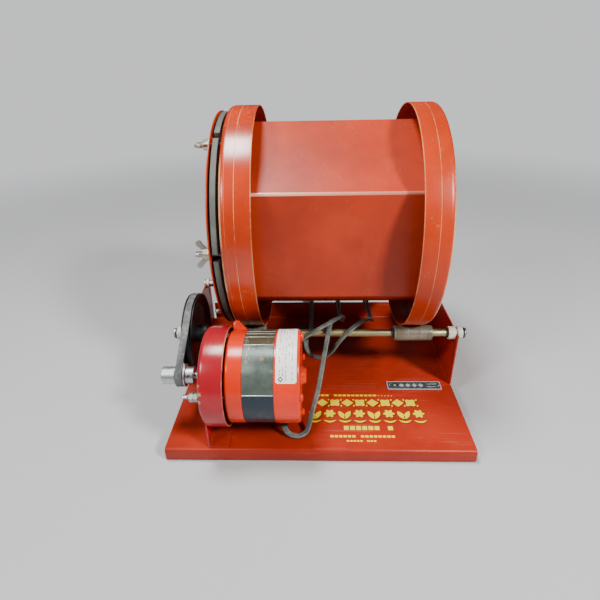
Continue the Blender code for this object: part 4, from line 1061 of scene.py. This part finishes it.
def left_shell(looks):
    closed, mouth = LEFT_SHELL
    shell = end_shell("motor_shell_left", closed, mouth, closed - 2.0, looks)
    wedge = [(-95.0, 48.9, 0.0), (-95.0, 57.5), (-92.5, 60.5), (-89.0, 60.5)]
    wedge += [(-79.5, 50.5), (-79.5, 48.9, 0.0)]
    ear = spun(prism(soften(wedge, 1.5, 4), "Y", -7.0, 7.0), -math.radians(38.0))
    ear = rounded_edges(made("ear", ear, looks["shell"], MOTOR_AT), 0.9, 3)
    combine(shell, [ear], "UNION", 28.0)
    combine(shell, bolt_holes(-98.0, -90.0, looks["shell"], "left_hole"), "DIFFERENCE", 28.0)
    piece(shell, "base", "motor_left_shell")


def turn_to_cord(bm):
    """Something drawn along X, turned to where the cord leaves the motor."""
    spin = Vector((1, 0, 0)).rotation_difference(CORD_DOWN)
    bmesh.ops.rotate(bm, matrix=spin.to_matrix(), cent=(0, 0, 0), verts=bm.verts)
    return bm


def right_shell(looks):
    mouth, closed = RIGHT_SHELL
    look = looks["shell"]
    shell = end_shell("motor_shell_right", closed, mouth, closed + 5.6, looks, True)
    tools = bolt_holes(-28.0, -17.0, look, "right_hole")
    tools.append(made("cord_hole", turn_to_cord(rod(6.0, 42.0, 56.0, 40)), look, CORD_AT))
    for k in range(8):
        vent = shifted(prism(soften(box(-1.6, 1.6, -5.5, 5.5), 1.5, 5), "X", -26.0, -15.0), (0, 0, 27.0))
        tools.append(made(f"vent_{k}", spun(vent, math.radians(32.5 + 45.0 * k)), look, MOTOR_AT))
    combine(shell, tools, "DIFFERENCE", 28.0)
    piece(shell, "base", "motor_right_shell")


def stator(looks):
    """The lamination stack, with bright weld beads along its outside."""
    left, right = STATOR
    look = looks["lamination"]
    core = made("stator_core", ring(27.0, MOTOR_R - 0.3, left, right, 160, 0.25), look, MOTOR_AT)
    tools = bolt_holes(left - 2.0, right + 2.0, look, "core_hole")
    for k, (y, z) in enumerate(coil_bar_spots()):
        slot = shifted(rod(3.8, left - 2.0, right + 2.0, 20), (0, y, z))
        tools.append(made(f"core_slot_{k}", slot, look, MOTOR_AT))
    combine(core, tools, "DIFFERENCE", 28.0)
    piece(core, "base", "stator")
    left, right = left + 0.2, right - 0.2
    beads = []
    for degrees, half in WELDS:
        bead = soften([(left, 0.0), (left, half), (right, half), (right, 0.0)], 0.2, 2, False)
        beads.append(shifted(turned(bead, 12), (0, *radial(MOTOR_R - 0.35, math.radians(degrees)))))
    piece(made("stator_welds", gathered(*beads), looks["bead"], MOTOR_AT), "base", ())


def coil_bar_spots():
    return [radial(33.0, BOLT_TURN + math.pi / 4 + math.pi / 2 * k) for k in range(4)]


def winding(looks):
    """Two rings of turns at the stack's ends, with bars through its slots."""
    shapes = []
    inner, outer, crest, turns = 29.6, 34.6, 35.4, 7
    for x0, x1 in ((-88.0, -79.0), (-45.2, -37.0)):
        ridges = []
        for k in range(turns):
            x = x0 + (x1 - x0) * (k + 0.5) / turns
            ridges += [(x - 0.55, outer + 0.2), (x, crest), (x + 0.55, outer + 0.2)]
        shapes.append(turned([(x0, inner), (x0, outer)] + ridges + [(x1, outer), (x1, inner)], 96))
    for y, z in coil_bar_spots():
        shapes.append(shifted(rod(3.0, -79.4, -44.8, 24), (0, y, z)))
    turns = made("winding_turns", gathered(*shapes), looks["copper"], MOTOR_AT)
    piece(turns, "base", "stator_winding")


def rotor(looks):
    """The shaft with its core, and the fan."""
    shaft, core = MOTOR_SHAFT_R, 26.2
    profile = [(-168.0, 0.0), (-168.0, shaft), (-77.0, shaft), (-77.0, core), (-47.0, core), (-47.0, shaft)]
    profile += [(-16.0, shaft), (-16.0, 0.0)]
    bm = turned(soften(profile, 0.4, 3, False), 72)
    piece(made("rotor_shaft", bm, looks["steel"], MOTOR_AT), "motor_rotor", "rotor")
    bore, look = MOTOR_SHAFT_R + GAP, looks["aluminium"]
    wheel = [(-106.0, bore), (-106.0, 9.0), (-105.0, FAN_R), (-103.8, FAN_R), (-103.8, 11.0), (-99.5, 9.0)]
    fan = made("motor_fan", turned(soften(wheel + [(-99.5, bore)], 0.3), 72), look, MOTOR_AT)
    blades = []
    for k in range(6):
        blade = spun(block(-115.0, -105.2, -0.7, 0.7, 20.0, FAN_R - 1.0), math.tau * k / 6)
        blades.append(made(f"blade_{k}", blade, look, MOTOR_AT))
    combine(fan, blades, "UNION", 28.0)
    piece(fan, "motor_rotor", "cooling_fan")


def motor_inside(looks):
    winding(looks)
    rotor(looks)
    for word, x0, x1 in (("left", -93.9, -89.0), ("right", -27.0, -21.4)):
        bm = ring(MOTOR_SHAFT_R + 0.1, 8.5, x0, x1, 64, 0.5)
        bearing = made(f"bearing_{word}", bm, looks["bronze"], MOTOR_AT)
        piece(bearing, "base", f"motor_bearing_{word}")


def bolt_nut(name, low, high, at, looks):
    """A hexagon nut with its corners turned off."""
    nut = made(name, prism(polygon(6, 5.1, 0.3), "X", low, high), looks["nut"], at)
    bore = made("nut_bore", rod(BOLT_R + 0.05, low - 1, high + 1, 24), looks["cast"], at)
    combine(nut, [bore], "DIFFERENCE")
    cone = [(low, 0.0), (low, 4.6), (low + 0.8, 5.4), (high - 0.8, 5.4), (high, 4.6), (high, 0.0)]
    combine(nut, [made("nut_cone", turned(cone, 48), looks["cast"], at)], "INTERSECT")
    piece(nut, "base", ())


def through_bolts(looks):
    """Every second bolt holds the cup too and has two nuts outside it; the others end inside the cup."""
    for k, (y, z) in enumerate(bolt_spots()):
        at = (0.0, MOTOR_Y + y, MOTOR_Z + z)
        end, nuts = -139.0, ((-126.6, -122.4), (-131.4, -127.0))
        if k % 2:
            end, nuts = -102.0, ((-100.6, -96.4),)
        start, shank_end = -19.1, end + 8.0
        shank = turned([(start, 0.0), (start, BOLT_R), (shank_end, BOLT_R), (shank_end, 0.0)], 32)
        bolt = gathered(shank, thread(BOLT_R, end, shank_end, 0.8, 24, 0.25))
        bolt = made(f"motor_bolt_{k + 1}", bolt, looks["steel"], at)
        piece(bolt, "base", f"through_bolt_{k + 1}")
        head = soften([(-19.0, 0.0), (-19.0, 4.2), (-17.0, 4.0), (-16.2, 2.6), (-16.2, 0.0)], 0.5, 3, False)
        head = made(f"bolt_head_{k + 1}", turned(head, 40), looks["shell"], at)
        slot = made("bolt_slot", block(-17.4, -15.0, -5.0, 5.0, -0.5, 0.5), looks["shell"], at)
        piece(combine(head, [slot], "DIFFERENCE"), "base", ())
        for j, (low, high) in enumerate(nuts):
            bolt_nut(f"bolt_nut_{k + 1}_{j + 1}", low, high, at, looks)


def on_shell(x, along, radius):
    """The point on the motor at x, `along` mm round it from the label's foot."""
    a = LABEL_FOOT + along / MOTOR_R
    return x, -radius * math.cos(a), radius * math.sin(a)


def label_mark(outline, low):
    """A thin mark on the label, from an outline in (x, distance round the motor)."""
    bm = prism(outline, "Z", 0.0, 1.0)
    for v in bm.verts:
        v.co = on_shell(v.co.x, v.co.y, low + 0.04 * v.co.z)
    return bm


def motor_label(looks):
    """A white label with round corners wrapped on the right shell, with grey rules and a small emblem."""
    low, high = MOTOR_R + GAP, MOTOR_R + GAP + 0.3
    x0, x1 = -43.8, -22.6
    arc = MOTOR_R * (LABEL_TOP - LABEL_FOOT)
    corner, steps = 2.2, 72
    rows = []
    for k in range(steps + 1):
        along = arc * k / steps
        short = max(0.0, corner - min(along, arc - along))
        inset = corner - math.sqrt(corner ** 2 - short ** 2)
        section = box(x0 + inset, x1 - inset, low, high)
        rows.append([on_shell(x, along, r) for x, r in section])
    piece(made("motor_tag", skinned(rows), looks["label"], MOTOR_AT), "base", "motor_label")
    marks = []
    rng = random.Random(4)
    for line in range(5):
        x = x0 + 4.0 + 3.2 * line
        s = 7.5 if line < 2 else 3.0
        while s < arc - 6.0:
            run = rng.uniform(1.6, 4.2)
            if rng.random() < 0.6:
                marks.append(label_mark(box(x - 0.32, x + 0.32, s, s + run), high))
            s += run + rng.uniform(0.8, 2.6)
    emblem = (x0 + 5.2, 4.2)
    for k in range(4):
        a, b = math.pi / 2 * k, math.pi / 2 * (k + 1)
        corners = ((2.9, a), (2.9, b), (1.5, b), (1.5, a))
        outline = [(emblem[0] + r * math.cos(t), emblem[1] + r * math.sin(t)) for r, t in corners]
        marks.append(label_mark(outline, high))
    piece(made("motor_tag_print", gathered(*marks), looks["print"], MOTOR_AT), "base", ())


# ---- power cord ---------------------------------------------------------------------------------------
def strain_relief(looks):
    """A moulded grommet with a collar on the shell and two ribs below it."""
    bore = 3.1 + GAP
    length = RELIEF_END - RELIEF_START
    seat = MOTOR_R + 0.5 - RELIEF_START
    end = seat + 2.6
    profile = [(0.0, bore), (0.0, 5.4), (seat, 5.4), (seat, 7.2), (seat + 2.2, 7.2), (end, 5.2)]
    for k in range(2):
        x, r = end + 0.3 + 1.5 * k, 5.1 - 0.35 * k
        profile += [(x, r - 0.9), (x + 0.5, r - 0.9), (x + 0.6, r), (x + 1.2, r)]
    profile += [(length, 4.3), (length, bore)]
    bm = turn_to_cord(turned([(RELIEF_START + x, r) for x, r in soften(profile, 0.35)], 48))
    piece(made("cord_relief", bm, looks["rubber"], CORD_AT), "base", "strain_relief")


def smooth_line(points, spacing):
    """Points at an even spacing along a curve through the given ones."""
    knots = [Vector(p) for p in points]
    knots = [2 * knots[0] - knots[1]] + knots + [2 * knots[-1] - knots[-2]]
    fine = []
    for a, b, c, d in zip(knots, knots[1:], knots[2:], knots[3:]):
        for k in range(24):
            t = k / 24
            bend, ease = 2 * a - 5 * b + 4 * c - d, 3 * b - a - 3 * c + d
            fine.append(0.5 * (2 * b + (c - a) * t + bend * t ** 2 + ease * t ** 3))
    fine.append(knots[-2])
    walked = [0.0]
    for a, b in zip(fine, fine[1:]):
        walked.append(walked[-1] + (b - a).length)
    count = max(2, round(walked[-1] / spacing))
    line, at = [], 0
    for k in range(count + 1):
        goal = walked[-1] * k / count
        while at < len(fine) - 2 and walked[at + 1] < goal:
            at += 1
        share = (goal - walked[at]) / max(walked[at + 1] - walked[at], 1e-9)
        line.append(fine[at].lerp(fine[at + 1], min(share, 1.0)))
    return line


def ease(turn, start, length):
    """0 before start, 1 after start + length, smooth between."""
    share = min(1.0, max(0.0, (turn - start) / length))
    return share * share * (3 - 2 * share)


def coil_line():
    """The turns behind the machine, then the short tail into the plug."""
    cx, cy = COIL_CENTRE
    points = []
    start, total, steps = -20.0, 470.0, 44
    for k in range(steps + 1):
        turn = total * k / steps
        a = math.radians(start + turn)
        joined, rise = min(1.0, turn / 40.0), ease(turn, 385.0, 70.0)
        radius = 42.0 - 3.9 * joined - 6.3 * ease(turn, 300.0, 60.0) + 2.9 * rise
        height = 1.95 + 1.1 * (1 - joined) + 4.3 * rise
        points.append((cx + radius * math.cos(a), cy + radius * math.sin(a), height))
    return points + [(cx - 12.0, cy + 35.0, 6.3), (cx - 20.0, cy + 35.0, 6.4), (cx - 27.3, cy + 35.0, 6.4)]


def cord_frames(line):
    """Each point with the cord's direction there and its width's, which is level where it can be."""
    up = Vector((0, 0, 1))
    width, found = None, []
    for k, p in enumerate(line):
        along = (line[min(k + 1, len(line) - 1)] - line[max(k - 1, 0)]).normalized()
        level = along.cross(up)
        weight = level.length
        if width is None:
            width = level.normalized() if weight > 0.1 else Vector((1, 0, 0))
        width = (width - along * width.dot(along)).normalized()
        if weight > 0.05:
            level.normalize()
            if level.dot(width) < 0:
                level = -level
            width = (width * (1 - 0.25 * weight ** 2) + level * 0.25 * weight ** 2).normalized()
            width = (width - along * width.dot(along)).normalized()
        found.append((p, along, width))
    return found


def power_cord(looks):
    """Flat twin cord: two round cores side by side with a groove between them."""
    line = smooth_line(CORD_ROUTE[:-1] + coil_line(), 2.2)
    core, open_half, steps = CORD_WIDTH / 4, 24, 9
    section = []
    for centre, middle in ((-core, 180), (core, 0)):
        for k in range(steps + 1):
            a = math.radians(middle + (2 * k / steps - 1) * (90 + open_half))
            section.append((centre + core * math.cos(a), core * math.sin(a)))
    rings = []
    for p, along, width in cord_frames(line):
        thin = along.cross(width)
        rings.append([p + width * a + thin * b for a, b in section])
    cord = made("mains_cord", skinned(rings), looks["cord"], (0, 0, 0), 60.0)
    piece(cord, "base", ("power_cord", "cord_coil"))
    return cord, line


def cord_tie(looks):
    """A thin strap in a closed loop round the coil's turns, with a small buckle on top."""
    near, far, low, high, strap = 28.9, 42.3, 0.05, 7.5, 0.3
    outside = soften(box(near, far, low, high), 1.6, 6)
    inside = soften(box(near + strap, far - strap, low + strap, high - strap), 1.3, 6)
    spin = Matrix.Rotation(math.radians(38.0), 3, "Z")
    shapes = []
    for name, bm in (
        ("cord_tie", prism(outside, "Y", -2.2, 2.2)),
        ("tie_inside", prism(inside, "Y", -5.0, 5.0)),
        ("tie_buckle", block(33.8, 38.2, -3.0, 3.0, high - 0.25, high + 1.1)),
    ):
        bmesh.ops.rotate(bm, verts=bm.verts, cent=(0.0, 0.0, 0.0), matrix=spin)
        shapes.append(made(name, bm, looks["rubber"], (*COIL_CENTRE, 0.0)))
    tie, hollow, buckle = shapes
    combine(tie, [hollow], "DIFFERENCE")
    combine(tie, [buckle], "UNION")
    return piece(tie, "base", ())


def plug(looks):
    """A moulded two-blade plug lying flat, with grip ribs."""
    at = (COIL_CENTRE[0] - 27.8, COIL_CENTRE[1] + 35.0, 6.4)
    half = [(0.0, 3.6, 1.0), (-13.0, 4.6, 1.0), (-15.0, 8.5, 1.5), (-22.0, 10.5, 2.0), (-34.0, 10.5, 1.5)]
    outline = half + [(a, -b, r) for a, b, r in reversed(half)]
    body = made("plug_body", prism(soften(outline, 1.0, 4), "Z", -5.8, 5.8), looks["rubber"], at)
    rounded_edges(body, 1.6, 4, 50.0)
    grooves = []
    for k in range(4):
        x = -31.0 + 2.6 * k
        for side in (-1, 1):
            groove = block(x, x + 1.2, side * 9.9, side * 12.0, -4.0, 4.0)
            grooves.append(made(f"grip_{k}_{side}", groove, looks["rubber"], at))
    combine(body, grooves, "DIFFERENCE")
    pieces = [piece(body, "base", "plug")]
    outline = soften([(-50.0, -3.1, 1.2), (-32.0, -3.1, 0.0), (-32.0, 3.1, 0.0), (-50.0, 3.1, 1.2)], 1.2)
    for side in (-1, 1):
        y, thin = side * 6.4, 0.75
        blade = made(f"plug_blade_{side + 2}", prism(outline, "Y", y - thin, y + thin), looks["steel"], at)
        hole = shifted(spun(stand_up(rod(1.5, -2.0, 2.0, 24)), math.pi / 2), (-46.0, y, 0))
        combine(blade, [made("blade_hole", hole, looks["steel"], at)], "DIFFERENCE")
        pieces.append(piece(blade, "base", ()))
    return pieces


# ---- drum ---------------------------------------------------------------------------------------------
def stud_angles():
    return [HEX_TURN + math.tau * k / STUDS for k in range(STUDS)]


def hex_outline(radius, corner=0.0):
    points = polygon(HEX_SIDES, radius, HEX_TURN + math.pi / HEX_SIDES)
    return soften(points, corner, 8) if corner else points


def pan(name, closed, mouth, hole, look):
    """A shallow pan with a round corner and a thin rolled mouth. `hole` is 0 for a whole disc."""
    inside, wall = closed + math.copysign(PAN_SHEET, mouth - closed), PAN_R - PAN_SHEET
    outer = [(closed, hole, 0.0), (closed, PAN_R, PAN_CORNER), (mouth, PAN_R, 0.45)]
    inner = [(inside, hole, 0.0), (inside, wall, PAN_CORNER - PAN_SHEET), (mouth, wall, 0.45)]
    if hole:
        profile = soften(outer[::-1] + inner, 0.4, 8)
    else:
        profile = soften(outer + inner[::-1], 0.4, 8, False)
    return made(name, turned(profile, 256), look, DRUM_AT)


def pans(looks):
    look = looks["left_pan"]
    left = pan("drum_pan_left", *LEFT_PAN, 80.0, look)
    opening = prism(hex_outline(HEX_R + GAP), "X", LEFT_PAN[0] - 2.0, LEFT_PAN[0] + 3.0)
    combine(left, [made("left_opening", opening, look, DRUM_AT)], "DIFFERENCE", 28.0)
    piece(left, "drum", "left_pan")
    studs = []
    for angle in stud_angles():
        stud = thread(STUD_R, STUD_END, LEFT_PAN[0] + 0.4, 1.27, 32)
        studs.append(shifted(stud, (0, *radial(STUD_PCD_R, angle))))
    piece(made("lid_studs", gathered(*studs), looks["steel"], DRUM_AT), "drum", ())
    right = pan("drum_pan_right", *RIGHT_PAN, 0.0, looks["right_pan"])
    piece(right, "drum", "right_pan")


def hex_barrel(looks):
    corner, look = 3.2, looks["hex"]
    inner = HEX_R - HEX_SHEET / math.cos(math.pi / HEX_SIDES)
    outside = prism(hex_outline(HEX_R + 0.45, corner), "X", HEX_LEFT, HEX_RIGHT)
    bore = prism(hex_outline(inner, corner - HEX_SHEET), "X", HEX_LEFT - 5.0, HEX_RIGHT + 5.0)
    shell = made("hex_barrel", outside, look, DRUM_AT)
    combine(shell, [made("barrel_bore", bore, look, DRUM_AT)], "DIFFERENCE", 28.0)
    piece(shell, "drum", "hex_shell")


def liner(looks):
    """The rubber tub inside the barrel, with a flange that the lid presses on."""
    corner, look = math.cos(math.pi / HEX_SIDES), looks["liner"]
    outer = HEX_R - (HEX_SHEET + 0.4) / corner
    inner = outer - LINER_WALL / corner
    left, right = LINER_FLANGE
    end = HEX_RIGHT - 0.4
    body = made("barrel_liner", ring(60.0, LINER_FLANGE_R, left, right, 256, 0.8), look, DRUM_AT)
    tub = made("liner_tub", prism(hex_outline(outer, 2.0), "X", right - 3.0, end), look, DRUM_AT)
    combine(body, [tub], "UNION", 28.0)
    bore = prism(hex_outline(inner, 4.0), "X", left - 4.0, end - LINER_WALL)
    tools = [made("liner_bore", bore, look, DRUM_AT)]
    for k, angle in enumerate(stud_angles()):
        notch = block(left - 1.0, right + 1.0, -4.2, 4.2, 110.5, LINER_FLANGE_R + 3.0)
        tools.append(made(f"liner_notch_{k}", spun(notch, math.pi / 2 - angle), look, DRUM_AT))
    combine(body, tools, "DIFFERENCE", 28.0)
    piece(body, "drum", "rubber_liner")


def lid(looks):
    left, right = LID
    plate = turned(soften([(left, 0.0), (left, LID_R), (right, LID_R), (right, 0.0)], 0.5, 4, False), 256)
    cover = made("drum_lid", plate, looks["lid"], DRUM_AT)
    holes = []
    for k, angle in enumerate(stud_angles()):
        hole = shifted(rod(STUD_R + 0.6, left - 1.0, right + 1.0, 32), (0, *radial(STUD_PCD_R, angle)))
        holes.append(made(f"lid_hole_{k}", hole, looks["lid"], DRUM_AT))
    combine(cover, holes, "DIFFERENCE", 28.0)
    piece(cover, "lid", "lid_plate")
    seal = made("lid_seal", rod(GASKET_R, *GASKET, 160, 0.5), looks["rubber"], DRUM_AT)
    piece(seal, "lid", "lid_gasket")


def wing(side):
    """One cast wing, in the nut's own frame, with its seat at x = 0 and pointing to -X."""
    outline = [(-1.2, side * 4.0, 0.5), (-7.6, side * 3.6, 1.5)]
    for k in range(11):
        a = math.pi * (1.32 - 0.13 * k)
        outline.append((-12.2 + 3.2 * math.cos(a), side * (11.4 + 3.2 * math.sin(a)), 0.0))
    return prism(soften(outline, 0.5, 3), "Y", -1.4, 1.4)


def wing_nuts(looks):
    bore = STUD_R + GAP
    for k, angle in enumerate(stud_angles()):
        y, z = radial(STUD_PCD_R, angle)
        at = (LID[0] - GAP, DRUM_Y + y, DRUM_Z + z)
        boss = [(0.0, bore, 0.2), (0.0, 7.1, 0.5), (-2.0, 6.9, 0.8), (-9.0, 4.9, 0.7), (-9.0, bore, 0.2)]
        nut = made(f"wing_{k + 1}", turned(soften(boss, 0.5), 48), looks["cast"], at)
        wings = [made(f"wing_{k + 1}_{side}", wing(side), looks["cast"], at) for side in (-1, 1)]
        for half in wings:
            rounded_edges(half, 0.8, 3, 50.0)
        combine(nut, wings, "UNION", 40.0)
        nut.rotation_euler.x = math.radians(WING_TURNS[k])
        piece(nut, f"wing_nut_{k + 1}", f"wing_nut_{k + 1}")


# ---- camera, light and floor --------------------------------------------------------------------------
def camera():
    """The camera, from how it is pitched down, turned about Z and rolled, and where it stands."""
    data = bpy.data.cameras.new("camera")
    data.sensor_width = 36.0
    data.lens = data.sensor_width * FOCAL_WIDTHS
    data.clip_start, data.clip_end = 0.01, 50.0
    pitch, yaw, roll = 0.502, -0.039, -0.023
    ahead = Vector((math.sin(yaw) * math.cos(pitch), math.cos(yaw) * math.cos(pitch), -math.sin(pitch)))
    level = Vector((math.cos(yaw), -math.sin(yaw), 0.0))
    upright = level.cross(ahead)
    right = level * math.cos(roll) + upright * math.sin(roll)
    up = upright * math.cos(roll) - level * math.sin(roll)
    obj = bpy.data.objects.new("camera", data)
    turn = Matrix((right, up, -ahead)).transposed().to_4x4()
    obj.matrix_world = Matrix.Translation(Vector(CAMERA_AT) * MM) @ turn
    bpy.context.scene.collection.objects.link(obj)
    bpy.context.scene.camera = obj


def area_light(name, at, target, size, watts, colour=(1.0, 1.0, 1.0)):
    data = bpy.data.lights.new(name, "AREA")
    data.shape, data.size, data.size_y = "RECTANGLE", size[0], size[1]
    data.energy, data.color = watts, colour
    obj = bpy.data.objects.new(name, data)
    obj.location = at
    obj.rotation_euler = (Vector(target) - Vector(at)).to_track_quat("-Z", "Y").to_euler()
    bpy.context.scene.collection.objects.link(obj)


def studio(looks):
    """Three soft lights and the floor. The world is paler to the camera than to the machine."""
    middle = (0.0, 0.0, 0.15)
    area_light("overhead", (-0.33, 0.02, 1.62), (-0.08, 0.02, 0.2), (0.46, 0.32), 27.0, (1.0, 0.99, 0.97))
    area_light("key_left", (-0.95, -0.90, 1.25), middle, (0.35, 0.30), 13.0, (1.0, 0.98, 0.95))
    area_light("key_right", (1.05, -0.95, 1.20), middle, (0.26, 0.26), 38.0, (1.0, 0.98, 0.95))
    world = bpy.data.worlds.new("studio")
    world.use_nodes = True
    tree = world.node_tree
    lit = tree.nodes["Background"]
    lit.inputs["Color"].default_value = (0.90, 0.93, 1.0, 1.0)
    lit.inputs["Strength"].default_value = 0.09
    plain = tree.nodes.new("ShaderNodeBackground")
    plain.inputs["Color"].default_value = (*SURROUND, 1.0)
    seen = tree.nodes.new("ShaderNodeLightPath").outputs["Is Camera Ray"]
    choice = tree.nodes.new("ShaderNodeMixShader")
    tree.links.new(seen, choice.inputs["Fac"])
    tree.links.new(lit.outputs["Background"], choice.inputs[1])
    tree.links.new(plain.outputs["Background"], choice.inputs[2])
    tree.links.new(choice.outputs["Shader"], tree.nodes["World Output"].inputs["Surface"])
    bpy.context.scene.world = world
    reach = 9000.0
    floor = made("studio_floor", block(-reach, reach, -reach, reach, -20.0, 0.0), looks["floor"])


# ---- everything ---------------------------------------------------------------------------------------
def main():
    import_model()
    looks = make_looks()
    camera()
    studio(looks)
    cord, line = power_cord(looks)
    cord_pieces = plug(looks) + [cord_tie(looks)]
    strain_relief(looks)
    for build in (
        base, feet, fine_plate, ornament, front_shaft, rear_shaft, driven_pulley, drive_belt, motor_pulley,
        motor_cup, left_shell, right_shell, stator, motor_inside, through_bolts, motor_label, pans,
        hex_barrel, liner, lid, wing_nuts,
    ):
        build(looks)


main()
